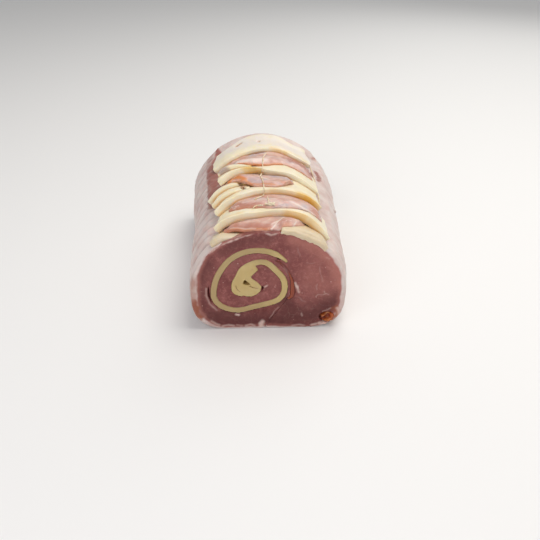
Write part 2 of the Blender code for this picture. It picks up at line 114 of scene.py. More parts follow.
@dataclass(frozen=True)
class Mark:
    """A stroke on a surface: a line of points, its width, how soft its edge is and its strength.
    It can also sink the surface, or raise it where sink is below 0."""

    tint: Tint
    points: Tuple[Point3, ...]
    width: float
    soft: float
    strength: float
    sink: float = 0.0


def face_marks(tint: Tint, *strokes: Stroke) -> List[Mark]:
    """Makes each mark on both end faces, because the layers run through the roast.

    Args:
        tint: What the marks show.
        *strokes: Their lines, widths, soft edges and strengths.

    Returns:
        The marks on the cut face and on the back face.
    """
    return [
        Mark(tint, tuple((x, y, z) for x, z in line), width, soft, strength)
        for line, width, soft, strength in strokes
        for y in (FRONT, BACK)
    ]


# ----- Meshes -----


def only(*objects: Mesh) -> None:
    """Selects just these objects and makes the first one active.

    Args:
        *objects: The objects.
    """
    bpy.ops.object.select_all(action="DESELECT")
    for obj in objects:
        obj.select_set(True)
    bpy.context.view_layer.objects.active = objects[0]


def finish_with(obj: Mesh, kind: str, **settings: object) -> None:
    """Adds a modifier with its settings and applies it.

    Args:
        obj: The piece that it shapes.
        kind: The modifier's type.
        **settings: Its settings by name.
    """
    only(obj)
    modifier = obj.modifiers.new(kind.title(), kind)
    for name, value in settings.items():
        setattr(modifier, name, value)
    bpy.ops.object.modifier_apply(modifier=modifier.name)


def read_rows(items: bpy.types.bpy_prop_collection, name: str) -> Array:
    """Reads a vector of each item of a mesh.

    Args:
        items: The mesh's vertices, normals or faces.
        name: What is read.

    Returns:
        One row for each item.
    """
    flat = np.zeros(len(items) * 3, np.float32)
    items.foreach_get(name, flat)
    return flat.reshape(-1, 3).astype(float)


def places(obj: Mesh) -> Array:
    """Returns the piece's vertices in millimetres, one row each."""
    return read_rows(obj.data.vertices, "co") / MM


def set_places(obj: Mesh, points: Array) -> None:
    """Moves the piece's vertices to these places in millimetres."""
    obj.data.vertices.foreach_set("co", (points * MM).astype(np.float32).ravel())
    obj.data.update()


def normals(obj: Mesh) -> Array:
    """Returns the piece's vertex normals, one row each."""
    return read_rows(obj.data.vertex_normals, "vector")


def push(obj: Mesh, amount: Array) -> None:
    """Moves each vertex along its normal by its own amount in millimetres."""
    set_places(obj, places(obj) + normals(obj) * amount[:, None])


def store(obj: Mesh, tint: Tint, values: Array) -> None:
    """Keeps one number for each vertex, for the piece's material to read.

    Args:
        obj: The piece.
        tint: What the numbers are.
        values: The numbers.
    """
    layers = obj.data.attributes
    layer = layers.get(tint.value) or layers.new(tint.value, "FLOAT", "POINT")
    layer.data.foreach_set("value", np.asarray(values, np.float32))


def stored(obj: Mesh, tint: Tint) -> Array:
    """Reads the numbers that store() kept.

    Args:
        obj: The piece.
        tint: What the numbers are.

    Returns:
        The numbers, zeros where none were kept.
    """
    values = np.zeros(len(obj.data.vertices), np.float32)
    if tint.value in obj.data.attributes:
        obj.data.attributes[tint.value].data.foreach_get("value", values)
    return values.astype(float)


def edit_all(obj: Mesh) -> None:
    """Opens a piece in edit mode with all of it selected.

    Args:
        obj: The piece.
    """
    only(obj)
    bpy.ops.object.mode_set(mode="EDIT")
    bpy.ops.mesh.select_all(action="SELECT")


def node_copy(node: str, name: str) -> Mesh:
    """Copies a solid of the frame and merges its loose triangles.

    Args:
        node: The solid's name.
        name: The name of the new piece.

    Returns:
        The new piece, a closed mesh.
    """
    obj = bpy.data.objects.new(name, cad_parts[node].data.copy())
    bpy.context.scene.collection.objects.link(obj)
    obj.data.materials.clear()
    edit_all(obj)
    bpy.ops.mesh.remove_doubles(threshold=0.004 * MM)
    bpy.ops.mesh.customdata_custom_splitnormals_clear()
    bpy.ops.object.mode_set(mode="OBJECT")
    return obj


def remove(obj: Mesh) -> None:
    """Deletes a piece and its mesh.

    Args:
        obj: The piece.
    """
    mesh = obj.data
    bpy.data.objects.remove(obj)
    bpy.data.meshes.remove(mesh)


def divide_faces(obj: Mesh, chosen: Array) -> None:
    """Divides these faces once.

    Args:
        obj: The piece.
        chosen: True for each face that is wanted.
    """
    edit_all(obj)
    bpy.context.tool_settings.mesh_select_mode = (False, False, True)
    bpy.ops.mesh.select_all(action="DESELECT")
    bpy.ops.object.mode_set(mode="OBJECT")
    obj.data.polygons.foreach_set("select", chosen)
    bpy.ops.object.mode_set(mode="EDIT")
    bpy.ops.mesh.subdivide(number_cuts=1)
    bpy.ops.object.mode_set(mode="OBJECT")


def prism(name: str, outline: Sequence[Point2], start: float, end: float) -> Mesh:
    """Raises a closed bar along y from an outline.

    Args:
        name: The bar's name.
        outline: Its section, as x and z, in order.
        start: Where it starts on y.
        end: Where it ends on y.

    Returns:
        The bar.
    """
    bpy.ops.object.select_all(action="DESELECT")
    bpy.ops.mesh.primitive_circle_add(vertices=len(outline), radius=MM, fill_type="NGON")
    bar = bpy.context.object
    bar.name = name
    set_places(bar, np.array([(x, start, z) for x, z in outline], float))
    edit_all(bar)
    move = (0.0, (end - start) * MM, 0.0)
    bpy.ops.mesh.extrude_region_move(TRANSFORM_OT_translate={"value": move})
    bpy.ops.mesh.select_all(action="SELECT")
    bpy.ops.mesh.normals_make_consistent(inside=False)
    bpy.ops.object.mode_set(mode="OBJECT")
    return bar


def end_bars(
    name: str, line: Sequence[Point2], halves: Sequence[float], depth: float
) -> List[Mesh]:
    """Makes a cutter for each end of the roast, as wide as the cut along a line.

    Args:
        name: Their name.
        line: The cut's line, as x and z.
        halves: Its half width at each point.
        depth: How deep it goes.

    Returns:
        The cutter for the cut face and the one for the back face.
    """
    outline = band_outline(line, halves)
    return [
        prism(name, outline, FRONT - PAST_END, FRONT + depth),
        prism(name, outline, BACK - depth, BACK + PAST_END),
    ]


def carve(body: Mesh, cutters: Sequence[Mesh]) -> None:
    """Cuts closed meshes out of a piece one after the other, and deletes them.

    Args:
        body: The piece.
        cutters: What is cut out.
    """
    for cutter in cutters:
        finish_with(body, "BOOLEAN", object=cutter, operation="DIFFERENCE", solver="MANIFOLD")
        remove(cutter)


def band_outline(line: Sequence[Point2], halves: Sequence[float]) -> List[Point2]:
    """Turns a line with a half width at each point into a closed outline.

    Args:
        line: The points, as x and z.
        halves: The half width at each.

    Returns:
        The outline in order, one side and then the other.
    """
    points = np.array(line, float)
    along = np.gradient(points, axis=0)
    along /= np.linalg.norm(along, axis=1)[:, None]
    side = np.column_stack([-along[:, 1], along[:, 0]]) * np.array(halves)[:, None]
    whole = np.vstack([points + side, (points - side)[::-1]])
    return [(float(x), float(z)) for x, z in whole]


def distance_to(points: Array, line: Union[Array, Sequence[Tuple]]) -> Array:
    """Measures how far points are from a line of straight lengths.

    Args:
        points: The points, one row each.
        line: The line's points, with as many numbers each.

    Returns:
        The distance of each point.
    """
    ends = np.array(line, float)
    if len(ends) == 1:
        return np.linalg.norm(points - ends[0], axis=1)
    best = np.full(len(points), np.inf)
    for start, end in zip(ends[:-1], ends[1:]):
        way = end - start
        share = np.clip((points - start) @ way / max(float(way @ way), 1e-9), 0.0, 1.0)
        best = np.minimum(best, np.linalg.norm(points - start - share[:, None] * way, axis=1))
    return best


def smooth_step(values: Array, low: float, high: float) -> Array:
    """Returns 0 below low and 1 above high, with a soft rise between."""
    share = np.clip((values - low) / (high - low), 0.0, 1.0)
    return share * share * (3.0 - 2.0 * share)


def along_share(points: Array) -> Array:
    """Returns how far along the roast each point is, 0 at the cut face and 1 at the back."""
    return np.clip((points[:, 1] - FRONT) / (BACK - FRONT), 0.0, 1.0)


def from_end(points: Array) -> Array:
    """Returns how far each point is from the nearer end face, in millimetres."""
    return np.minimum(np.abs(points[:, 1] - FRONT), np.abs(points[:, 1] - BACK))


def core_turn(points: Array) -> Array:
    """Returns each point's angle round the bowed core line, from -180 to 180 degrees."""
    middle = CORE_LINE[0] + CORE_BEND * np.sin(math.pi * along_share(points))
    return np.degrees(np.arctan2(points[:, 2] - CORE_LINE[1], points[:, 0] - middle))


def crown_angle(points: Array) -> Array:
    """Returns each point's angle round the core line, from 0 at the right to 180 at the left."""
    turn = core_turn(points)
    return np.where(turn < -90.0, turn + 360.0, turn)


def unrolled(points: Array) -> Array:
    """Lays points of the crown out flat: their way round the core line, and y."""
    return np.column_stack([crown_angle(points) * CROWN_ARC, points[:, 1], np.zeros(len(points))])


def round_core(points: Array) -> Tuple[Array, Array]:
    """Returns each point's angle round the section's middle, 0 to 360, and how far out it is."""
    x, z = points[:, 0] - CORE[0], points[:, 2] - CORE[1]
    return np.degrees(np.arctan2(z, x)) % 360.0, np.hypot(x, z)


def first_hit(
    surfaces: Sequence[BVHTree], start: Vector, way: Vector, reach: float
) -> Optional[float]:
    """Looks along a line for the nearest of some surfaces.

    Args:
        surfaces: What can be hit.
        start: Where the line starts, in metres.
        way: Its direction.
        reach: How far it goes, in millimetres.

    Returns:
        How far off the nearest is, in millimetres, or nothing where all are missed.
    """
    hits = [surface.ray_cast(start, way, reach * MM)[3] for surface in surfaces]
    reached = [hit for hit in hits if hit is not None]
    return min(reached) / MM if reached else None


class Waviness:
    """Smooth unevenness in space, the same each time, for relief and ragged edges."""

    # The finer swells: their size and weight beside the wide ones, and where they are read
    fine_size = 0.45
    fine_weight = 0.3
    fine_shift = 7.3

    def __init__(self, seed: int, grid: int = 32) -> None:
        """Fills a grid with numbers from -1 to 1 that repeats in all directions.

        Args:
            seed: Which unevenness.
            grid: How many cells before it repeats.
        """
        self.grid = grid
        self.table = np.random.default_rng(seed).uniform(-1.0, 1.0, (grid, grid, grid))

    def at(self, points: Array, size: Size) -> Array:
        """Reads the unevenness at these points.

        Args:
            points: Places in millimetres.
            size: How large one swell is, in millimetres, the same or by axis.

        Returns:
            A number from -1 to 1 for each point.
        """
        scaled = points / np.array(size)
        cell = np.floor(scaled).astype(int)
        share = scaled - cell
        share = share * share * (3.0 - 2.0 * share)
        total = np.zeros(len(points))
        for corner in range(8):
            step = np.array([corner & 1, corner >> 1 & 1, corner >> 2 & 1])
            weight = np.prod(np.where(step, share, 1.0 - share), axis=1)
            i, j, k = ((cell + step) % self.grid).T
            total += weight * self.table[i, j, k]
        return total

    def rough(self, points: Array, size: Size) -> Array:
        """Returns the unevenness with finer swells added to it."""
        fine = self.at(points + self.fine_shift, np.array(size) * self.fine_size)
        return (1.0 - self.fine_weight) * self.at(points, size) + self.fine_weight * fine


@dataclass(frozen=True)
class Relief:
    """How uneven a surface is: the size and height of its wide swells and of its grain, where
    the grain is read, and how far the whole stands out, in millimetres."""

    swell: Size
    height: float
    grain: float = 1.0
    grain_height: float = 0.0
    shift: float = 0.0
    lift: float = 0.0

    def at(self, wave: Waviness, points: Array) -> Array:
        """Works out the relief.

        Args:
            wave: The unevenness that it takes its swells from.
            points: Places in millimetres.

        Returns:
            Its height at each point.
        """
        height = wave.rough(points, self.swell) * self.height
        if self.grain_height:
            height = height + wave.at(points + self.shift, self.grain) * self.grain_height
        return height + self.lift


def add_marks(obj: Mesh, marks: Sequence[Mark], flat: bool = False) -> None:
    """Draws marks into the piece's attributes, and sinks the surface where they say so.

    Args:
        obj: The piece.
        marks: The strokes.
        flat: Whether they are placed by angle and y alone, whatever the height.
    """
    points = places(obj)
    wander = Waviness(71).at(points, MARK_SWING)
    if flat:
        points = unrolled(points)
    layers = {tint: np.zeros(len(points)) for tint in Tint}
    depth = np.zeros(len(points))
    for mark in marks:
        reach = mark.width / 2.0 + mark.soft
        line = np.array(mark.points, float)
        if flat:
            line = unrolled(line)
        near = np.all(points > line.min(0) - reach - MARK_MARGIN, axis=1)
        near &= np.all(points < line.max(0) + reach + MARK_MARGIN, axis=1)
        away = distance_to(points[near], line) + wander[near] * mark.width * MARK_WANDER
        inside = 1.0 - smooth_step(away, mark.width / 2.0 - mark.soft / 2.0, reach)
        layer = layers[mark.tint]
        layer[near] = np.maximum(layer[near], inside * mark.strength)
        depth[near] += inside * mark.sink
    for tint, values in layers.items():
        if values.any() and tint is not Tint.NOTHING:
            store(obj, tint, np.maximum(values, stored(obj, tint)))
    if depth.any():
        push(obj, -depth)


def relief_height(obj: Mesh, rounds: int) -> Array:
    """Measures how far each vertex stands above the smoothed surface, in millimetres.

    Args:
        obj: The piece.
        rounds: How many smoothing rounds, more for a wider neighbourhood.

    Returns:
        The height of each vertex, below 0 in grooves.
    """
    calm = obj.copy()
    calm.data = obj.data.copy()
    bpy.context.scene.collection.objects.link(calm)
    finish_with(calm, "SMOOTH", factor=0.7, iterations=rounds)
    height = np.sum((places(obj) - places(calm)) * normals(obj), axis=1)
    remove(calm)
    return height


def drop_loose_bits(obj: Mesh) -> None:
    """Takes away the slivers that cutting left beside the main body.

    Args:
        obj: The piece.
    """
    mesh = bmesh.new()
    mesh.from_mesh(obj.data)
    bmesh.ops.dissolve_degenerate(mesh, dist=SLIVER * MM, edges=mesh.edges)
    waiting = set(mesh.verts)
    groups = []
    while waiting:
        group = {waiting.pop()}
        edge = list(group)
        while edge:
            found = {e.other_vert(v) for v in edge for e in v.link_edges} & waiting
            waiting -= found
            group |= found
            edge = list(found)
        groups.append(group)
    largest = max(groups, key=len)
    bits = [vert for group in groups if group is not largest for vert in group]
    bmesh.ops.delete(mesh, geom=bits, context="VERTS")
    mesh.to_mesh(obj.data)
    mesh.free()
    obj.data.update()


# ----- Finishes -----


def linear(code: str) -> Tuple[float, float, float, float]:
    """Turns an sRGB hex colour into linear light.

    Args:
        code: The colour, as in #ffffff.

    Returns:
        Red, green, blue and a full alpha.
    """
    parts = [int(code[i : i + 2], 16) / 255.0 for i in (1, 3, 5)]
    light = [p / 12.92 if p <= 0.04045 else ((p + 0.055) / 1.055) ** 2.4 for p in parts]
    return (light[0], light[1], light[2], 1.0)


class Finish:
    """One material and the nodes that make it."""

    def __init__(self, name: str) -> None:
        """Starts an empty material.

        Args:
            name: What it is.
        """
        self.material = bpy.data.materials.new(name)
        self.material.use_nodes = True
        self.tree = self.material.node_tree
        self.tree.nodes.clear()

    def add(
        self,
        kind: str,
        inputs: Optional[Dict[Union[str, int], Value]] = None,
        output: Union[int, str] = 0,
        **settings: object,
    ) -> Socket:
        """Adds a node with its settings and links.

        Args:
            kind: The node's type without its prefix.
            inputs: A number, colour or another node's output for each input.
            output: Which of its outputs is wanted.
            **settings: The node's own settings.

        Returns:
            The output that was asked for.
        """
        node = self.tree.nodes.new("ShaderNode" + kind)
        for name, value in settings.items():
            setattr(node, name, value)
        for name, value in (inputs or {}).items():
            if isinstance(value, bpy.types.NodeSocket):
                self.tree.links.new(value, node.inputs[name])
            elif isinstance(value, str):
                node.inputs[name].default_value = linear(value)
            else:
                node.inputs[name].default_value = value
        return node.outputs[output] if len(node.outputs) else node.inputs[0]

    def millimetres(self) -> Socket:
        """Adds the place on the piece, in millimetres. Returns it."""
        spot = self.add("TexCoord", output="Object")
        return self.add("VectorMath", {0: spot, 1: (1.0 / MM,) * 3}, operation="MULTIPLY")

    def patches(
        self,
        mm: Socket,
        per_mm: float,
        start: float,
        full: float,
        most: float = 1.0,
        detail: float = 4.0,
        rough: float = 0.5,
    ) -> Socket:
        """Adds soft uneven patches.

        Args:
            mm: The place in millimetres.
            per_mm: How many there are to a millimetre.
            start: From where in the noise's range they show.
            full: From where they are full.
            most: How strong they are there.
            detail: How many finer swells the noise has.
            rough: How strong those are.

        Returns:
            Their strength at each place.
        """
        noise = self.add(
            "TexNoise", {"Vector": mm, "Scale": per_mm, "Detail": detail, "Roughness": rough}
        )
        return self.add(
            "MapRange", {"Value": noise, "From Min": start, "From Max": full, "To Max": most}
        )

    def veins(self, mm: Socket, size: float, width: float, strength: float) -> Socket:
        """Adds fine branching lines that fade in and out, as marbling does.

        Args:
            mm: The place in millimetres.
            size: How far apart they are, in millimetres.
            width: How wide they are, as a share of the noise's range.
            strength: How strong they are at most.

        Returns:
            The strength at each place.
        """
        noise = self.add("TexNoise", {"Vector": mm, "Scale": 1.0 / size, "Detail": 2.5})
        off = self.add("Math", {0: noise, 1: 0.5}, operation="SUBTRACT")
        off = self.add("Math", {0: off}, operation="ABSOLUTE")
        line = self.add("MapRange", {"Value": off, "From Max": width, "To Min": 1.0, "To Max": 0.0})
        patch = self.patches(mm, 0.55 / size, 0.42, 0.62, strength, detail=2.0)
        return self.add("Math", {0: line, 1: patch}, operation="MULTIPLY")

    def layered(self, colour: Value, *layers: Tuple) -> Socket:
        """Lays colours over another, each where a mark or a pattern says.

        Args:
            colour: What lies below.
            *layers: From below to above, where each shows, its colour, and its strength if
                that isn't full.

        Returns:
            The colour with all its layers.
        """
        for where, over, *strength in layers:
            if isinstance(where, Tint):
                where = self.add("Attribute", output="Fac", attribute_name=where.value)
            if strength:
                where = self.add("Math", {0: where, 1: strength[0]}, operation="MULTIPLY")
            colour = self.add("Mix", {0: where, 6: colour, 7: over}, 2, data_type="RGBA")
        return colour

    def close(self, inputs: Dict[Union[str, int], Value]) -> Material:
        """Adds the shader and the output.

        Args:
            inputs: The shader's inputs.

        Returns:
            The finished material.
        """
        self.add("OutputMaterial", {"Surface": self.add("BsdfPrincipled", inputs)})
        return self.material


@dataclass(frozen=True)
class Moist:
    """How moist food takes the light, each kind with its own values."""

    ior: float
    # How rough it is where it is smoothest and where it is roughest
    rough: Span
    # How much light is scattered beneath, how far in millimetres, and its red, green and blue
    scatter: float
    scatter_mm: float
    scatter_rgb: Point3
    # The wet film on it: how much there is, and how rough that is
    film: float
    film_rough: float
    # Its grain: the spacing, how many finer bumps it has, its strength and its height
    grain_mm: float
    grain_detail: float
    grain_strength: float
    grain_height: float

    def close(self, f: Finish, mm: Socket, colour: Socket, varied: Socket) -> Material:
        """Closes a finish with these values.

        Args:
            f: The finish.
            mm: The place in millimetres.
            colour: Its colour.
            varied: The pattern that its roughness follows.

        Returns:
            The finished material.
        """
        low, high = self.rough
        size = {"Scale": 1.0 / self.grain_mm, "Detail": self.grain_detail}
        bump = {"Strength": self.grain_strength, "Distance": self.grain_height * MM}
        bump["Height"] = f.add("TexNoise", {"Vector": mm, **size})
        return f.close(
            {
                "Base Color": colour,
                "Roughness": f.add("MapRange", {"Value": varied, "To Min": low, "To Max": high}),
                "IOR": self.ior,
                "Subsurface Weight": self.scatter,
                "Subsurface Radius": self.scatter_rgb,
                "Subsurface Scale": self.scatter_mm * MM,
                "Coat Weight": self.film,
                "Coat Roughness": self.film_rough,
                "Normal": f.add("Bump", bump),
            }
        )


@dataclass(frozen=True)
class RawPork:
    """Raw pork loin, cut with a knife: moist muted rose meat with pale flecks, under a cover of
    pinkish white fat with a soft sheen."""

    meat: str = "#91544f"
    meat_deep: str = "#793b39"
    meat_rosy: str = "#a86760"
    # Darker muscle, also painted shade low down and at the left of the cut face
    dark_lean_and_shade: str = "#521f1d"
    rosy_lean: str = "#ba776b"
    bare_meat: str = "#9b645a"
    bare_grey: str = "#ad877b"
    fleck: str = "#cfa79c"
    membrane: str = "#d9bdb2"
    # Dark red, also painted shade beside the filling and under the front of the slices
    dark_red_and_shade: str = "#6e2b25"
    stain: str = "#9a5333"
    fat: str = "#d9cac4"
    fat_pink: str = "#cbafa8"
    # Painted shade in the fat's folds and hollows
    fat_shade: str = "#8f7877"
    # Moist muscle and fat, IOR close to water's 1.33 with protein and fat in it, and a grain of
    # single fibres, which are 0.05 to 0.1 mm, drawn 0.9 mm apart
    moist: Moist = Moist(
        ior=1.4, rough=(0.36, 0.58), scatter=0.22, scatter_mm=3.0, scatter_rgb=(1.0, 0.35, 0.25),
        film=0.08, film_rough=0.28, grain_mm=0.9, grain_detail=3.0, grain_strength=0.35,
        grain_height=0.3,
    )
    # Muscles change tone over about 15 mm, bundles of fibres over 2 mm
    mottle_mm: float = 15.0
    bundle_per_mm: float = 0.45
    # Real flecks are 0.3 mm, drawn 0.7 mm across so that they show in the render
    fleck_mm: float = 3.4
    # Marbling lines are 9 mm apart
    marbling_mm: float = 9.0
    # The fat's edge wanders over 5 mm, and its pink patches are 11 mm long
    ragged_per_mm: float = 0.2
    pink_per_mm: float = 0.09

    def make(self) -> Material:
        """Builds the material.

        Returns:
            The material.
        """
        f = Finish("raw_pork_loin")
        mm = f.millimetres()
        tone = f.patches(mm, 1.0 / self.mottle_mm, 0.35, 0.65, rough=0.6)
        fine = f.add(
            "TexNoise",
            {"Vector": mm, "Scale": self.bundle_per_mm, "Detail": 5.0, "Roughness": 0.7},
        )
        rosy = f.add("MapRange", {"Value": fine, "From Min": 0.5, "From Max": 0.72})

        # Pale flecks of fat between the fibres, more of them in some places
        cells = f.add("TexVoronoi", {"Vector": mm, "Scale": 1.0 / self.fleck_mm})
        limit = f.patches(mm, 0.11, 0.4, 0.7, 0.17, detail=2.0)
        flecks = f.add("Math", {0: limit, 1: cells}, operation="SUBTRACT")
        flecks = f.add("MapRange", {"Value": flecks, "From Max": 0.08, "To Max": 0.75})

        # The fat's inner edge is uneven, and the meat along it is rosier
        ragged = f.add(
            "TexNoise",
            {"Vector": mm, "Scale": self.ragged_per_mm, "Detail": 3.0, "Roughness": 0.45},
        )
        ragged = f.add("MapRange", {"Value": ragged, "To Min": -0.9, "To Max": 0.9})
        depth = f.add("Attribute", output="Fac", attribute_name=Tint.FAT_DEPTH.value)
        depth = f.add("Math", {0: depth, 1: ragged}, operation="ADD")
        cover = f.add("MapRange", {"Value": depth, "From Min": -0.5, "From Max": 0.7})
        rim = f.add(
            "MapRange", {"Value": depth, "From Min": -3.2, "From Max": -0.2, "To Max": 0.5}
        )
        meat = f.layered(
            self.meat_deep,
            (tone, self.meat),
            (rosy, self.meat_rosy),
            # Darker muscle, and painted shade low down and at the left
            (Tint.DARK_LEAN_AND_SHADE, self.dark_lean_and_shade, 0.8),
            (Tint.ROSY_LEAN, self.rosy_lean, 0.7),
            (flecks, self.fleck),
            (f.veins(mm, self.marbling_mm, 0.016, 0.1), self.fleck),
            (rim, self.rosy_lean),
        )
        fat = f.layered(
            self.fat,
            (f.patches(mm, self.pink_per_mm, 0.4, 0.68, rough=0.55), self.fat_pink),
            # Painted shade in the fat's folds and hollows
            (Tint.GROOVE_SHADE, self.fat_shade, 0.75),
        )

        # Bare lean on the skin, torn at its edge and greyer in patches
        lean = f.layered(
            self.bare_meat, (f.patches(mm, 0.14, 0.5, 0.66, detail=3.0), self.bare_grey)
        )
        torn = f.add(
            "MapRange",
            {"Value": ragged, "From Min": -0.6, "From Max": 0.6, "To Min": 0.2, "To Max": -0.2},
        )
        bare = f.add("Attribute", output="Fac", attribute_name=Tint.MEAT.value)
        bare = f.add("Math", {0: bare, 1: torn}, operation="ADD")
        bare = f.add("MapRange", {"Value": bare, "From Min": 0.25, "From Max": 0.85})
        colour = f.layered(
            meat,
            (cover, fat),
            (bare, lean),
            (Tint.BROWN, self.stain),
            # Dark red, and painted shade beside the filling and under the front of the slices
            (Tint.DEEP, self.dark_red_and_shade),
            (Tint.PALE, self.membrane),
        )
        return self.moist.close(f, mm, colour, fine)


@dataclass(frozen=True)
class SlicedCheese:
    """Mild sliced cheese, cut by a blade: cream to pale yellow, waxy, translucent at its edges,
    and golden where light gets lost in a fold, which is painted shade, with a painted highlight
    where the top slice is lit."""

    name: str = "sliced_cheese"
    body: str = "#ebe1c6"
    cream: str = "#f0e8d2"
    # Painted highlight where the top of a slice is lit
    pale: str = "#eae0d5"
    warm: str = "#e7d8ae"
    # Painted golden shade in recesses
    golden: str = "#d99c40"
    # Painted golden shade under the lips
    honey_shade: str = "#e2b142"
    # Juice, also painted shade in holes, slits and a small hollow
    juice_and_shade: str = "#b98d6f"
    # What shows through where it is thin, also painted shade where a slice or the rolled band lies
    # in less light
    through: str = "#a5908e"
    # Waxy protein gel, with the blade's drag marks, about 0.3 mm apart, drawn 0.8 mm apart
    moist: Moist = Moist(
        ior=1.42, rough=(0.34, 0.5), scatter=0.3, scatter_mm=3.0, scatter_rgb=(1.0, 0.8, 0.45),
        film=0.08, film_rough=0.3, grain_mm=0.8, grain_detail=2.0, grain_strength=0.14,
        grain_height=0.2,
    )
    # Warm clouds are 11 mm apart, creamy ones 8 mm
    cloud_mm: float = 11.0
    cream_per_mm: float = 0.12

    def make(self) -> Material:
        """Builds the material.

        Returns:
            The material.
        """
        f = Finish(self.name)
        mm = f.millimetres()
        cloud = f.add("TexNoise", {"Vector": mm, "Scale": 1.0 / self.cloud_mm, "Detail": 4.0})
        tone = f.add(
            "MapRange", {"Value": cloud, "From Min": 0.4, "From Max": 0.75, "To Max": 0.7}
        )
        recess = f.add("Attribute", output="Fac", attribute_name=Tint.RECESS_SHADE.value)
        recess = f.add("MapRange", {"Value": recess, "From Min": 0.15, "To Max": 0.55})
        colour = f.layered(
            self.body,
            (tone, self.warm),
            (f.patches(mm, self.cream_per_mm, 0.45, 0.8, 0.7), self.cream),
            # Painted golden shade in recesses
            (recess, self.golden),
            # Painted golden shade under the lips and in hollows
            (Tint.GOLDEN_SHADE, self.honey_shade),
            # Painted shade, and what shows through where it is thin
            (Tint.DEEP, self.through),
            # Painted highlight
            (Tint.PALE, self.pale),
            # Juice, and painted shade in holes, slits and a small hollow
            (Tint.BROWN, self.juice_and_shade),
        )
        return self.moist.close(f, mm, colour, cloud)


@dataclass(frozen=True)
class CookedHam:
    """Cooked ham, sliced thin: moist rose pink with greyish lilac patches, whitish fat streaks
    and edges that dried orange."""

    name: str = "cooked_ham"
    pink: str = "#d8b4aa"
    rose: str = "#c69587"
    lilac: str = "#bda9ab"
    streak: str = "#eee2d8"
    # Dried edges, also painted shade in recesses
    dried: str = "#d48649"
    salmon: str = "#b0705b"
    raw: str = "#a45a50"
    # Moist cured meat, with fibres of about 0.1 mm, drawn 0.9 mm apart
    moist: Moist = Moist(
        ior=1.4, rough=(0.28, 0.46), scatter=0.25, scatter_mm=2.5, scatter_rgb=(1.0, 0.4, 0.25),
        film=0.2, film_rough=0.25, grain_mm=0.9, grain_detail=3.0, grain_strength=0.3,
        grain_height=0.25,
    )
    # Rosy patches are 9 mm apart, lilac ones 13 mm
    patch_mm: float = 9.0
    lilac_per_mm: float = 0.075
    # Streaks of fat are 7 mm apart, drawn out across the slice
    streak_mm: float = 7.0
    drawn_out: Point3 = (0.6, 1.5, 1.0)

    def make(self) -> Material:
        """Builds the material.

        Returns:
            The material.
        """
        f = Finish(self.name)
        mm = f.millimetres()
        patch = f.add("TexNoise", {"Vector": mm, "Scale": 1.0 / self.patch_mm, "Detail": 4.0})
        tone = f.add("MapRange", {"Value": patch, "From Min": 0.42, "From Max": 0.62})
        drawn = f.add("VectorMath", {0: mm, 1: self.drawn_out}, operation="MULTIPLY")
        recess = f.add("Attribute", output="Fac", attribute_name=Tint.RECESS_SHADE.value)
        recess = f.add("MapRange", {"Value": recess, "From Min": 0.2, "To Max": 0.4})
        colour = f.layered(
            self.pink,
            (tone, self.rose),
            (f.patches(mm, self.lilac_per_mm, 0.52, 0.66, detail=3.0), self.lilac),
            (Tint.ROSY_LEAN, self.salmon),
            (Tint.DEEP, self.raw),
            (f.veins(drawn, self.streak_mm, 0.03, 0.55), self.streak),
            (Tint.BROWN, self.dried),
            # Painted shade in recesses, in the dried colour
            (recess, self.dried),
            (Tint.PALE, self.streak),
        )
        return self.moist.close(f, mm, colour, patch)


@dataclass(frozen=True)
class CottonTwine:
    """Cotton cooking twine, wetted by the meat: pale straw, a little see-through, with two
    twisted strands."""

    cotton: str = "#f2e4c8"
    shade: str = "#d2b184"
    # Cotton fibre soaked with fat
    ior: float = 1.5
    # Fibres are 0.02 mm, drawn 0.25 mm apart, and wet patches are 3 mm long
    fibre_mm: float = 0.25
    wet_per_mm: float = 0.3

    def make(self) -> Material:
        """Builds the material.

        Returns:
            The material.
        """
        f = Finish("cotton_twine")
        mm = f.millimetres()
        colour = f.layered(
            self.cotton,
            (f.patches(mm, self.wet_per_mm, 0.45, 0.7, detail=2.0), self.shade),
            # Painted shade between the strands
            (Tint.GROOVE_SHADE, self.shade),
        )
        fibre = f.add("TexNoise", {"Vector": mm, "Scale": 1.0 / self.fibre_mm})
        return f.close(
            {
                "Base Color": colour,
                "Roughness": 0.5,
                "IOR": self.ior,
                "Subsurface Weight": 0.3,
                "Subsurface Radius": (1.0, 0.7, 0.4),
                "Subsurface Scale": 0.001,
                "Normal": f.add("Bump", {"Height": fibre, "Strength": 0.4, "Distance": 0.0001}),
            }
        )


def dress(obj: Mesh, material: Material, slot: str, *nodes: str) -> None:
    """Gives a finished piece its material, and its place in the frame.

    Args:
        obj: The piece.
        material: Its finish.
        slot: The record's name for that finish. Not used.
        *nodes: The solids that it stands for.
    """
    obj.data.materials.clear()
    obj.data.materials.append(material)
    only(obj)
    bpy.ops.object.shade_smooth()
    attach(obj, "root")
    if nodes:
        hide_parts(*nodes)
    log.info("%s: %d faces", obj.name, len(obj.data.polygons))


# ----- The rolled loin -----

# The outline of what fills the roll, as a radius for each 30 degrees round its middle
ROLL_CENTRE = (-11.6, 36.0)
ROLL_RADII = (30.5, 32.0, 29.5, 27.0, 25.8, 25.2, 27.2, 30.8, 27.5, 22.5, 22.5, 29.5)
# Where the rolled meat meets itself, from the underside to the filling, and how wide it gapes
SEAM = ((-3.9, -1.0), (-1.3, 3.0), (1.6, 8.0), (5.5, 13.6), (8.9, 18.4), (12.4, 24.0))
SEAM_FOOT = (-2.9, 0.7)
SEAM_HALVES = (0.16, 0.1, 0.06, 0.09, 0.05, 0.05)
# The hollow between the sheets of cheese in the middle of the roll
VOID = ((-16.9, 39.4), (-18.6, 33.6), (-12.6, 33.2), (-7.6, 31.6), (-12.0, 35.2))
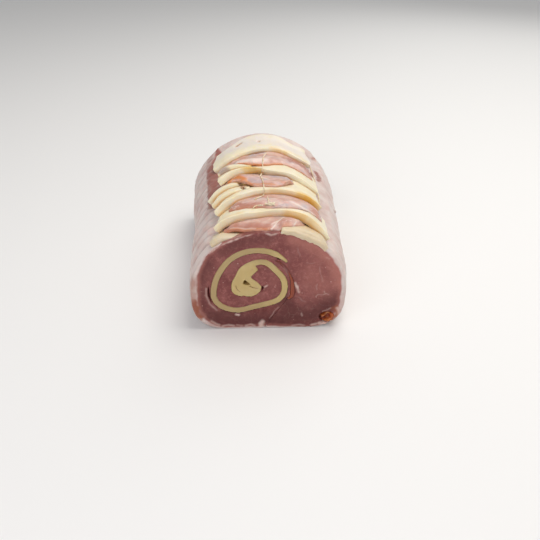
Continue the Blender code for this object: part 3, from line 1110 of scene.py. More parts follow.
# Gaps that opened between the filling and the meat: a line, and its half width at each point
GAPS = (
    (((-39.3, 34.0), (-39.7, 30.5), (-39.4, 26.5), (-38.0, 22.0)), (0.12, 0.5, 0.6, 0.15)),
    (((-4.6, 33.8), (-3.6, 32.2), (-4.2, 30.6)), (0.2, 0.6, 0.2)),
    (((5.2, 54.9), (6.2, 53.8), (7.6, 52.9)), (0.25, 0.6, 0.25)),
    (((15.6, 34.6), (16.6, 32.0), (16.9, 28.4), (15.6, 25.6)), (0.2, 0.55, 0.75, 0.2)),
)

FACE_MARKS = (
    *face_marks(
        Tint.DARK_LEAN_AND_SHADE,
        # Muscles of a darker lean; the band low down and the strip at the left are also painted
        # shade, where less light reaches
        (((-40, 9), (-14, 5), (14, 8), (34, 11), (42, 18)), 11, 12, 1),
        (((-44, 16), (-46, 34), (-40, 52)), 6, 8, 0.75),
        (((-30, 60), (-14, 67.5), (0, 69)), 4, 5, 0.6),
        (((10, 20), (20, 12)), 9, 8, 0.9),
    ),
    *face_marks(
        Tint.ROSY_LEAN,
        # Muscles of a rosier lean
        (((16, 68), (32, 60), (42, 48), (46, 34)), 4, 7, 1),
        (((30, 42), (36, 32)), 10, 12, 0.5),
    ),
    *face_marks(
        Tint.PALE,
        # The membrane under the top edge
        (((-37.7, 58.7), (-30.5, 64.4), (-23.4, 67.3), (-16.3, 70.1), (-8.4, 72.4), (-2.7, 72.8),
          (1.6, 71), (5.9, 72.1)), 0.8, 0.6, 1),
        # Membranes beside the ham and outside the gap at the left
        (((17.4, 35.4), (18.5, 31.8), (20, 28.2)), 0.9, 0.6, 0.75),
        (((18.6, 33), (19.6, 30.4)), 1, 0.5, 1),
        (((-41, 32.5), (-41.2, 27), (-39.1, 20.5), (-34.6, 15.4)), 0.6, 0.7, 0.5),
        # Flecks by the fold, low down at the left and at the seam
        (((-1.2, 33.8), (-2.6, 33)), 0.9, 0.5, 0.8),
        (((-21.9, 11.8), (-20.2, 11.4)), 1.1, 0.4, 0.9),
        (((-5.8, 1.4), (-4.2, 5.6)), 2.6, 1.2, 0.9),
        (((-38.6, 6.6), (-35.4, 4.2), (-33.6, 3.4)), 1, 0.9, 0.55),
        (((-31, 2.6), (-27.4, 3.4), (-23.6, 2.6)), 0.9, 0.9, 0.6),
        (((-21.6, 3.3), (-18, 2.5)), 0.7, 0.8, 0.5),
        (((-15.6, 2.6), (-12.4, 3.6), (-9.6, 2.4)), 0.9, 0.8, 0.6),
        (((16, 1.8), (20.6, 2.6), (24, 1.6)), 0.7, 0.8, 0.5),
        (((0.5, 8.4), (2.6, 11.4), (3.6, 13.8), (6.6, 17)), 0.25, 0.45, 0.5),
        # Marbling in the right half
        (((31.2, 24.6), (32.6, 26.2), (35.6, 25.9), (38.2, 26.9), (39.8, 26.1)), 0.3, 0.5, 0.6),
        (((36.6, 28.8), (37.4, 26.8)), 0.3, 0.5, 0.5),
        (((33, 47), (33.6, 42.6), (34.9, 39), (35.4, 36.4)), 0.25, 0.5, 0.24),
        (((31.9, 34.4), (31.4, 32.2), (31.8, 30)), 0.3, 0.5, 0.35),
        (((37.2, 54.2), (39.2, 53)), 0.5, 0.5, 0.4),
        (((18.4, 61.6), (18.8, 59), (20, 56.8), (20, 55)), 0.25, 0.5, 0.32),
        (((21.8, 11.6), (22.6, 9.6)), 0.5, 0.5, 0.45),
        (((9.6, 47), (11.6, 44.4), (13, 41.6), (14.8, 38)), 0.3, 0.5, 0.35),
        (((19.6, 24.8), (21.2, 23.4), (22, 21.8), (24.6, 20.6)), 0.3, 0.6, 0.28),
        (((24.6, 50.6), (27, 49.8), (29.6, 50.4)), 0.25, 0.5, 0.25),
        # Films at the lower right corner
        (((36.4, 13), (39, 13.8), (41.4, 15.4)), 0.4, 0.6, 0.35),
        (((29, 2), (32.4, 3)), 1, 0.9, 0.7),
        (((34, 3.4), (38, 2.6), (42, 3.4)), 1.6, 1, 0.8),
        (((47.2, 7), (47.8, 11), (46, 15.4)), 1.6, 1, 0.7),
    ),
    *face_marks(
        Tint.DEEP,
        # The dark lean strip above the membrane, darker still as painted shade where it lies in
        # shadow
        (((-14, 73.9), (-2, 75.6), (9, 74.8)), 2.4, 1, 0.8),
        (((-31, 66.6), (-24, 70), (-14, 73)), 1.8, 1.2, 0.6),
        # Painted shade on the lean beside the filling and its gaps
        (((15.4, 33.5), (16.6, 30), (15.6, 25.4)), 2.2, 1.2, 0.55),
        (((-40.2, 33), (-40.2, 27), (-38, 21)), 1.4, 1, 0.6),
        (((-4.6, 32.8), (-4.6, 29.8)), 1.6, 0.9, 0.55),
        (((-14, 14.2), (-4, 14.6), (4, 17.6)), 2.4, 2, 0.35),
        (((7, 51.6), (11.2, 47.6), (14.4, 42)), 1.3, 0.9, 0.5),
        # A dark streak at the lower right corner
        (((33.6, 6), (35, 11), (39, 12.9), (42, 13.6)), 1.2, 0.9, 0.7),
    ),
    *face_marks(
        Tint.BROWN,
        # Stains at the lower corners and below the left end of the slices
        (((-47.6, 18.5), (-48.4, 13), (-45.6, 9)), 2.2, 1.8, 0.75),
        (((-37.2, 61.2), (-35.4, 62.8)), 2, 1.6, 0.55),
        (((39, 3.4), (44.6, 6.4), (46.4, 10.6), (45.6, 16)), 2.6, 1.8, 0.85),
        (((42.6, 14.4), (43.6, 15.8)), 1.6, 1.2, 0.5),
    ),
)

SKIN_MARKS = (
    # Bare lean between the left fat and the ends of the slices
    Mark(Tint.MEAT, ((-39.6, -22, 60.6), (-41.6, 3, 60.2), (-42.6, 26, 60), (-43, 43, 60.4),
                     (-43.8, 56, 59.4)), 5, 2.4, 0.9),
    Mark(Tint.MEAT, ((-43.8, 56, 59.4), (-44.6, 88, 57.6)), 7, 3, 0.55),
    Mark(Tint.MEAT, ((-40, 66, 62.6), (-33.6, 82, 67), (-24, 87, 72.4)), 7, 5, 0.3),
    # Bare lean at the right, beside the thread
    Mark(Tint.MEAT, ((42.9, 46, 59.4), (44.6, 36, 58.4), (43.2, 28, 59.6)), 3.6, 2, 0.95),
    Mark(Tint.MEAT, ((36, 20, 65.5), (39.6, 36, 62.5)), 4, 1.4, 0.9),
    Mark(Tint.BROWN, ((-49, -88, 19), (-49.4, -82, 14), (-46.6, -86, 9)), 3.6, 2.4, 0.7),
    Mark(Tint.MEAT, ((-50, -88, 21), (-48, -88, 16), (-45.2, -88, 11.5)), 4.2, 2.6, 0.9),
    Mark(Tint.BROWN, ((47.6, -84, 8), (46.4, -87, 13)), 3.4, 2.4, 0.5),
    # A bright film on the fat at the left, a tag of fat at the right and a red tip at the back
    Mark(Tint.PALE, ((-42.6, -30, 57.6), (-42, -44, 58), (-41, -52, 58.2)), 1.6, 1.4, 0.6),
    Mark(Tint.NOTHING, ((53.6, 0, 45),), 2.4, 1.6, 0, -1.9),
    Mark(Tint.BROWN, ((43, 76, 59.5), (44.4, 79, 58)), 2.6, 2.2, 0.7, -0.8),
    # Thin skin between the last slice and the one before it
    Mark(Tint.MEAT, ((-34, 20, 66), (-30, 26, 68)), 6, 2, 0.9),
    # The dark lean that shows in front of the first slice of ham, darker as painted shade under its
    # edge
    Mark(Tint.DEEP, ((-15, -86, 72.6), (-2, -86, 75.4), (9, -86, 75)), 5, 1.6, 0.8),
    # The fat is pinker low down at the left of both ends
    *face_marks(Tint.BROWN, (((-51, 38), (-52, 27), (-50.6, 16)), 5, 5, 0.6)),
)


@dataclass
class RolledLoin:
    """The rolled meat with its cover of fat."""

    seed: int = 5
    cell: float = 1.25
    filler_gap: float = 0.02
    seam_half: float = 1.6
    slot_gap: float = -0.04
    stretch: float = 1.04
    gap_depth: float = 5.0
    seam_depth: float = 7.0
    # How near to an end face a vertex is moved onto it, and how deep its faces are divided
    flat_mm: float = 0.25
    fine_mm: float = 1.5
    # What counts as the surface of an end: how near it is, and how squarely it faces out
    end_mm: float = 0.3
    end_facing: float = 0.4
    # The skin's depth, and the steps in which its distance from the middle is looked up
    skin_mm: float = 4.0
    row_mm: float = 8.0
    column_turn: float = 4.0
    # How uneven the skin and the cut are, and how far the skin is set in to make up for it
    skin: Relief = Relief((9.0, 3.2, 9.0), 0.35, 1.9, 0.12, 3.1)
    skin_inset: float = 0.3
    # The relief fades in from the underside up and from the ends inwards
    from_floor: Span = (0.2, 3.0)
    from_ends: Span = (0.0, 3.0)
    cut: Relief = Relief(5.0, 0.16, 1.5, 0.06, 9.0, -0.2)
    # The folds that a net pressed into the fat: how far apart, how much they lean, how deep they
    # are, how dark their painted shade is, and their own unevenness
    fold_pitch: float = 177.0 / 14.0
    fold_slant: float = 7.0
    fold_depth: float = 0.55
    fold_shade: float = 0.8
    fold_edge: Span = (0.2, 2.3)
    fold_seed: int = 23
    # Where they fade in and out round the core line, in degrees, at the left and at the right,
    # and how deep they are at the right beside the left
    left_folds: Tuple[Span, Span] = ((134.0, 146.0), (205.0, 228.0))
    right_folds: Tuple[Span, Span] = ((318.0, 340.0), (14.0, 34.0))
    right_share: float = 0.5
    # Thickness of the fat at the ends for each 15 degrees round the middle, from the right
    fat_mm: Tuple[float, ...] = (
        4.1, 3.2, 1.8, 0.3, -2.0, -3.0, -3.0, -3.0, -2.0, -0.6, 1.2, 3.6,
        5.2, 5.6, 4.8, 3.0, 2.4, 2.2, 2.0, 1.8, 1.6, 1.8, 4.4, 4.7,
    )
    # Where the fat on the skin stops at the left and at the right, in degrees, along the roast
    fat_along: Tuple[float, ...] = (-88.0, -34.0, -22.0, 40.0, 52.0, 62.0, 76.0, 88.0)
    fat_left: Tuple[float, ...] = (130.0, 132.0, 145.0, 148.0, 148.0, 145.0, 141.0, 139.0)
    fat_right: Tuple[float, ...] = (43.0, 42.0, 41.0, 44.0, 100.0, 131.0, 134.0, 136.0)
    # How many millimetres the fat thins out there with each degree, and how the lean shows
    fat_slope: float = 0.6
    lean_turn: Span = (0.5, 3.5)
    lean_share: float = 0.8
    # The hollows of the relief that are given painted shade, and how much
    hollow_mm: Span = (0.02, 0.35)
    hollow_shade: float = 0.35

    def solid_roll(self) -> Mesh:
        """Fills the slots for now, and gives the whole an even fine mesh.

        Returns:
            The loin without its slots.
        """
        body = node_copy("pork_loin", "rolled_loin")
        angles = np.radians(np.arange(0, 360, 6))
        radii = np.interp(np.degrees(angles), np.arange(0, 361, 30), ROLL_RADII + ROLL_RADII[:1])
        roll = [
            (ROLL_CENTRE[0] + r * math.cos(a), ROLL_CENTRE[1] + r * math.sin(a))
            for a, r in zip(angles, radii)
        ]
        seam = band_outline((SEAM_FOOT, *SEAM[1:]), (self.seam_half,) * len(SEAM))
        ends = (FRONT + self.filler_gap, BACK - self.filler_gap)
        only(body, prism("roll_filler", roll, *ends), prism("seam_filler", seam, *ends))
        bpy.ops.object.join()
        finish_with(body, "REMESH", mode="VOXEL", voxel_size=self.cell * MM)
        finish_with(body, "SMOOTH", factor=0.5, iterations=3)
        return body

    def refine_ends(self, body: Mesh) -> None:
        """Divides the faces of both ends once more, and makes the ends flat again.

        Args:
            body: The loin.
        """
        points = places(body)
        for level, side in ((FRONT, -1.0), (BACK, 1.0)):
            near = (points[:, 1] - level) * side > -self.flat_mm
            points[near, 1] = level
        set_places(body, points)
        facing = read_rows(body.data.polygons, "normal")[:, 1]
        along = read_rows(body.data.polygons, "center")[:, 1] / MM
        ends = (along < FRONT + self.fine_mm) | (along > BACK - self.fine_mm)
        divide_faces(body, ends & (np.abs(facing) > 0.6))

    def cut_slots(self, body: Mesh) -> None:
        """Cuts the slots of the filling, the hollow in the roll and the small gaps.

        Args:
            body: The loin.
        """
        cutters = []
        for node in ("cheese_spiral", "ham_filling"):
            cutter = node_copy(node, node + "_cutter")
            edit_all(cutter)
            bpy.ops.transform.shrink_fatten(value=self.slot_gap * MM)
            bpy.ops.transform.resize(value=(1.0, self.stretch, 1.0), center_override=(0.0,) * 3)
            bpy.ops.object.mode_set(mode="OBJECT")
            cutters.append(cutter)
        cutters.append(prism("void_cutter", VOID, FRONT - PAST_END, BACK + PAST_END))
        for line, halves in GAPS:
            cutters += end_bars("gap", line, halves, self.gap_depth)
        cutters += end_bars("seam", SEAM, SEAM_HALVES, self.seam_depth)
        carve(body, cutters)
        drop_loose_bits(body)

    def shape_surface(self, body: Mesh) -> None:
        """Adds the fat's soft folds and the meat's uneven cut.

        Args:
            body: The loin.
        """
        points = places(body)
        wave = Waviness(self.seed)
        end = from_end(points)
        on_end = (end < self.end_mm) & (np.abs(normals(body)[:, 1]) > self.end_facing)
        inside = round_core(points)[1] < self.skin_reach(points) - self.skin_mm
        floor = smooth_step(points[:, 2], *self.from_floor)
        folds = self.skin.at(wave, points) - self.fold_depth * self.net_folds(points)
        folds = (folds - self.skin_inset) * floor * smooth_step(end, *self.from_ends)
        amount = np.where(~on_end & ~inside, folds, 0.0)
        push(body, np.where(on_end, self.cut.at(wave, points), amount))

    def net_folds(self, points: Array) -> Array:
        """Works out where a net pressed folds into the fat of the sides.

        Args:
            points: The loin's vertices.

        Returns:
            1 in the folds and 0 between them, for each vertex.
        """
        bow = np.sin(math.pi * along_share(points))
        turn = core_turn(points) % 360.0
        (upper, lower), (under, over) = self.left_folds, self.right_folds
        side = smooth_step(turn, *upper) * (1.0 - smooth_step(turn, *lower))
        right = smooth_step(turn, *under) + (turn < 90.0) * (1.0 - smooth_step(turn, *over))
        side = side + self.right_share * right
        lean = self.fold_slant * side * bow * np.sin(np.radians(turn - 180.0))
        along = (points[:, 1] - FRONT - lean) / self.fold_pitch
        off = np.abs(np.mod(along + 0.5, 1.0) - 0.5) * self.fold_pitch
        uneven = 0.8 + 0.35 * Waviness(self.fold_seed).at(points, (7.0, 6.0, 12.0))
        return np.clip((1.0 - smooth_step(off, *self.fold_edge)) * side * uneven, 0.0, 1.0)

    def skin_reach(self, points: Array) -> Array:
        """Works out how far the skin is from the middle, in each vertex's direction and slice.

        Args:
            points: The loin's vertices.

        Returns:
            The reach for each vertex.
        """
        turn, radial = round_core(points)
        last = int((BACK - FRONT) / self.row_mm)
        count = int(360.0 / self.column_turn)
        rows = np.clip(((points[:, 1] - FRONT) / self.row_mm).astype(int), 0, last)
        columns = (turn / self.column_turn).astype(int) % count
        reach = np.zeros((last + 1, count))
        np.maximum.at(reach, (rows, columns), radial)
        middles = (np.arange(count) + 0.5) * self.column_turn
        found = np.zeros(len(points))
        for row in range(last + 1):
            here = rows == row
            found[here] = np.interp(turn[here], middles, reach[row], period=360.0)
        return found

    def dress_up(self, body: Mesh, material: Material) -> None:
        """Works out where the fat, the lean and the marks are, and finishes the piece.

        Args:
            body: The loin.
            material: Its finish.
        """
        points = places(body)
        turn, radial = round_core(points)
        thick = np.interp(turn, np.arange(0, 361, 15), self.fat_mm + self.fat_mm[:1])
        beneath = self.skin_reach(points) - radial
        outer = np.abs(normals(body)[:, 1]) < 0.5
        on_skin = outer & (beneath < self.skin_mm)
        crown = crown_angle(points)
        left = np.interp(points[:, 1], self.fat_along, self.fat_left)
        right = np.interp(points[:, 1], self.fat_along, self.fat_right)
        cover = np.maximum(crown - left, right - crown)
        depth = np.where(on_skin, cover * self.fat_slope, thick - beneath)
        store(body, Tint.FAT_DEPTH, np.clip(depth, -6.0, 6.0))
        lean = self.lean_share * smooth_step(-cover, *self.lean_turn)
        store(body, Tint.MEAT, np.where(on_skin, lean, 0.0))
        # Painted shade on the outside, in the hollows of the relief and in the net's folds
        hollow = smooth_step(-relief_height(body, 30), *self.hollow_mm)
        shade = self.fold_shade * self.net_folds(points)
        hollow = np.maximum(self.hollow_shade * hollow, shade)
        store(body, Tint.GROOVE_SHADE, np.where(outer, hollow, 0.0))
        add_marks(body, FACE_MARKS + SKIN_MARKS)
        dress(body, material, "raw_pork", "pork_loin")

    def build(self, material: Material) -> Mesh:
        """Builds the loin.

        Args:
            material: Its finish.

        Returns:
            The finished piece.
        """
        body = self.solid_roll()
        self.refine_ends(body)
        self.cut_slots(body)
        self.shape_surface(body)
        self.dress_up(body, material)
        return body


# ----- The filling -----

# The slits in the folded cheese: the line, and its half width at each point
SLITS = (
    (((-12.6, 33.5), (-10.4, 32.8), (-8.4, 32.1), (-6.9, 32.0)), (0.3, 0.28, 0.2, 0.1)),
    (((-21.6, 34.6), (-21.2, 32.4), (-20.0, 30.6), (-18.6, 29.6)), (0.08, 0.2, 0.2, 0.08)),
)
SLIT_DEPTH = 2.6
# Juice at the outer end of the cheese, and painted shade along both slits and at a nick above them
CHEESE_MARKS = face_marks(
    Tint.BROWN,
    (((-37.6, 36), (-36, 42), (-33.6, 46)), 1.2, 1.2, 0.3),
    (((-21.8, 33.8), (-20.8, 31.4), (-18.9, 29.8)), 0.7, 0.6, 0.4),
    (((-12, 33.2), (-9.6, 32.5), (-7.4, 32.1)), 0.9, 0.6, 0.4),
    (((-10.6, 46.6), (-10.9, 45.8)), 0.5, 0.4, 0.6),
)
HAM_MARKS = face_marks(Tint.BROWN, (((13.6, 25), (15.6, 33), (13.4, 42)), 3, 2, 0.75))


@dataclass
class Filling:
    """The cheese and the ham that run through the roll."""

    cheese_cell: float = 0.55
    cheese_seed: int = 11
    cheese_end: Relief = Relief(4.0, 0.18, lift=-0.1)
    # Painted golden shade: the cheese is golden near the hollow's middle, and inside the roast,
    # away from its ends
    glow_middle: Point2 = (-14.6, 33.6)
    glow_mm: Span = (1.5, 6.5)
    glow: float = 0.35
    inside_mm: Span = (0.4, 4.0)
    inside_glow: float = 0.5
    # Painted shade: it grows darker away from the middle of the roll, and from the right to the
    # left
    dim_middle: Point2 = (-12.0, 36.0)
    dim_mm: Span = (13.0, 19.0)
    dim_right: float = 12.0
    dim_left_mm: Span = (0.0, 22.0)
    dim: float = 0.65
    ham_cell: float = 0.35
    ham_seed: int = 13
    ham_skin: Relief = Relief(2.4, 0.14, lift=-0.1)
    # The length between the ends is squeezed while the mesh is made, so that its faces are long
    end_mm: float = 5.0
    spare_mm: float = 5.0
    squeezed_mm: float = 9.0

    def even_mesh(self, obj: Mesh, cell: float) -> None:
        """Gives a long piece fine faces at its ends and long ones between them.

        Args:
            obj: The piece.
            cell: The size of its fine faces.
        """
        inner = (FRONT + self.end_mm, BACK - self.end_mm)
        for level in inner:
            edit_all(obj)
            bpy.ops.mesh.bisect(plane_co=(0.0, level * MM, 0.0), plane_no=(0.0, 1.0, 0.0))
            bpy.ops.object.mode_set(mode="OBJECT")
        full = np.array([FRONT - self.spare_mm, *inner, BACK + self.spare_mm])
        half = self.squeezed_mm / 2.0
        outer = half + self.end_mm + self.spare_mm
        short = np.array([-outer, -half, half, outer])
        points = places(obj)
        points[:, 1] = np.interp(points[:, 1], full, short)
        set_places(obj, points)
        finish_with(obj, "REMESH", mode="VOXEL", voxel_size=cell * MM)
        finish_with(obj, "SMOOTH", factor=0.5, iterations=2)
        points = places(obj)
        points[:, 1] = np.interp(points[:, 1], short, full)
        set_places(obj, points)

    def cheese(self, material: Material) -> None:
        """Builds the rolled band of cheese.

        Args:
            material: Its finish.
        """
        band = node_copy("cheese_spiral", "rolled_cheese")
        self.even_mesh(band, self.cheese_cell)
        for line, halves in SLITS:
            carve(band, end_bars("slit", line, halves, SLIT_DEPTH))
        points = places(band)
        wave = Waviness(self.cheese_seed)
        on_end = np.abs(normals(band)[:, 1]) > 0.7
        side = wave.at(points, 3.0) * 0.08
        push(band, np.where(on_end, self.cheese_end.at(wave, points), side))
        # Painted golden shade round the hollow, and painted shade away from the middle of the roll
        # and at the left
        store(band, Tint.RECESS_SHADE, self.inner_glow(places(band)))
        dim = smooth_step(self.away_from(self.dim_middle, points), *self.dim_mm)
        dim = dim * smooth_step(self.dim_right - points[:, 0], *self.dim_left_mm)
        store(band, Tint.DEEP, self.dim * dim)
        add_marks(band, CHEESE_MARKS)
        dress(band, material, "sliced_cheese", "cheese_spiral")

    def away_from(self, middle: Point2, points: Array) -> Array:
        """Returns how far each point is from a line along y through this x and z."""
        return np.hypot(points[:, 0] - middle[0], points[:, 2] - middle[1])

    def inner_glow(self, points: Array) -> Array:
        """Works out the cheese's painted golden shade, most round the hollow in the middle of the
        roll.

        Args:
            points: Its vertices.

        Returns:
            The strength for each vertex.
        """
        hollow = 1.0 - smooth_step(self.away_from(self.glow_middle, points), *self.glow_mm)
        inside = smooth_step(from_end(points), *self.inside_mm)
        return self.glow * hollow + self.inside_glow * inside

    def ham(self, material: Material) -> None:
        """Builds the ham in the seam.

        Args:
            material: Its finish.
        """
        strip = node_copy("ham_filling", "rolled_ham")
        self.even_mesh(strip, self.ham_cell)
        push(strip, self.ham_skin.at(Waviness(self.ham_seed), places(strip)))
        add_marks(strip, HAM_MARKS)
        dress(strip, material, "cooked_ham", "ham_filling")


@dataclass
class HamScrap:
    """The crumpled scrap in the pocket at the lower right."""

    cell: float = 0.35
    seed: int = 17
    # Its crumples: their way across the section, how close they are, how far they wander and
    # how high they stand, on wider swells, and how far the whole stands out
    ridge_way: Point2 = (0.8, 1.1)
    ridge_turn: float = 1.15
    ridge_wander: float = 2.0
    ridge_mm: float = 0.3
    swell: Relief = Relief(3.4, 0.9)
    lift_mm: float = 0.1
    # How deep from the cut face its front end reaches
    front_mm: Span = (0.5, 6.0)
    # Its upper left side is drawn in, so that it is a flap and the pocket shows beside it
    drawn_from: Point2 = (39.2, 8.2)
    drawn_way: Point2 = (-0.5, 0.86)
    drawn_span: Span = (0.2, 3.6)
    drawn_mm: float = 1.7
    # It is hollow and brown along one line, and pale along its lip
    hollow: Tuple[Point2, ...] = ((35.2, 6.4), (38.4, 7.6), (40.2, 9.0))
    hollow_span: Span = (0.5, 2.2)
    hollow_mm: float = 1.9
    lip: Tuple[Point2, ...] = ((34.8, 8.6), (37.6, 9.3), (40.6, 11.2))
    lip_span: Span = (0.2, 0.8)
    lip_share: float = 0.45

    def build(self, material: Material) -> None:
        """Builds the scrap.

        Args:
            material: Its finish.
        """
        bit = node_copy("ham_scrap", "ham_scrap_crumpled")
        finish_with(bit, "REMESH", mode="VOXEL", voxel_size=self.cell * MM)
        finish_with(bit, "SMOOTH", factor=0.5, iterations=2)
        points = places(bit)
        wave = Waviness(self.seed)
        across = points[:, 0] * self.ridge_way[0] + points[:, 2] * self.ridge_way[1]
        ridge = np.sin(across * self.ridge_turn + wave.at(points, 4.0) * self.ridge_wander)
        push(bit, self.swell.at(wave, points) + ridge * self.ridge_mm + self.lift_mm)
        finish_with(bit, "SMOOTH", factor=0.5, iterations=2)
        points = places(bit)
        front = 1.0 - smooth_step(points[:, 1] - FRONT, *self.front_mm)
        (right, up), (aside, above) = self.drawn_from, self.drawn_way
        upward = (points[:, 2] - up) * above + (points[:, 0] - right) * aside
        drawn = self.drawn_mm * smooth_step(upward, *self.drawn_span) * front
        points[:, 0] -= aside * drawn
        points[:, 2] -= above * drawn
        flat = points[:, ::2].copy()
        ragged = distance_to(flat, self.hollow) + 0.5 * wave.at(points, 2.4)
        inner = 1.0 - smooth_step(ragged, *self.hollow_span)
        points[:, 1] += self.hollow_mm * inner * front
        set_places(bit, points)
        store(bit, Tint.BROWN, np.clip(inner - 0.15 * ridge, 0.0, 1.0))
        lip = 1.0 - smooth_step(distance_to(flat, self.lip), *self.lip_span)
        store(bit, Tint.PALE, self.lip_share * lip)
        dress(bit, material, "cooked_ham", "ham_scrap")


# ----- The slices on the crown -----


class Food(Enum):
    """What a slice is, by the record's name for its finish."""

    CHEESE = "sliced_cheese"
    HAM = "cooked_ham"


@dataclass(frozen=True)
class Softness:
    """How one food lies: how much of the sag its top follows, all over and more at its edges,
    how uneven it is, and how long and how deep the waves of its front edge are."""

    follow: float
    edge_follow: float
    skin: Relief
    wave: float
    wave_depth: float


SOFTNESS = {
    Food.CHEESE: Softness(0.25, 0.15, Relief(5.0, 0.16, 1.6, 0.05, lift=0.02), 7.0, 0.5),
    Food.HAM: Softness(0.3, 0.6, Relief((4.0, 2.2, 4.0), 0.22), 3.6, 1.0),
}


@dataclass(frozen=True)
class CrownSlice:
    """One slice: its solid, where it lies on the crown and the line of its front edge."""

    node: str
    food: Food
    left: float
    right: float
    front: Tuple[float, ...]
    marks: Tuple[Mark, ...] = ()
    # How brown its front edge dried
    dried_edge: float = 0.0
    # How much thinner than its solid it is all over, at its right end and at its rear
    thin: float = 0.0
    taper: float = 0.0
    rear: float = 0.0
    # How many degrees are taken off its left end and its right end, or added where below 0
    trim: Point2 = (0.0, 0.0)
    # How far its front edge is drawn back and its rear is drawn out, in millimetres
    pull: float = 0.0
    reach: float = 0.0
    # How far the front corner at its right end is drawn back, in millimetres
    corner: float = 0.0
    # How far it can sag to reach what is below it
    sag: float = 4.5

    def share(self, points: Array) -> Array:
        """Returns how far across the slice each point is, 0 at its left end, 1 at its right."""
        return (self.left - crown_angle(points)) / (self.left - self.right)

    def behind(self, points: Array) -> Array:
        """Returns how far behind the slice's front edge each point is, in millimetres."""
        edge = np.interp(self.share(points), np.linspace(0.0, 1.0, len(self.front)), self.front)
        return points[:, 1] - FRONT - edge - self.pull


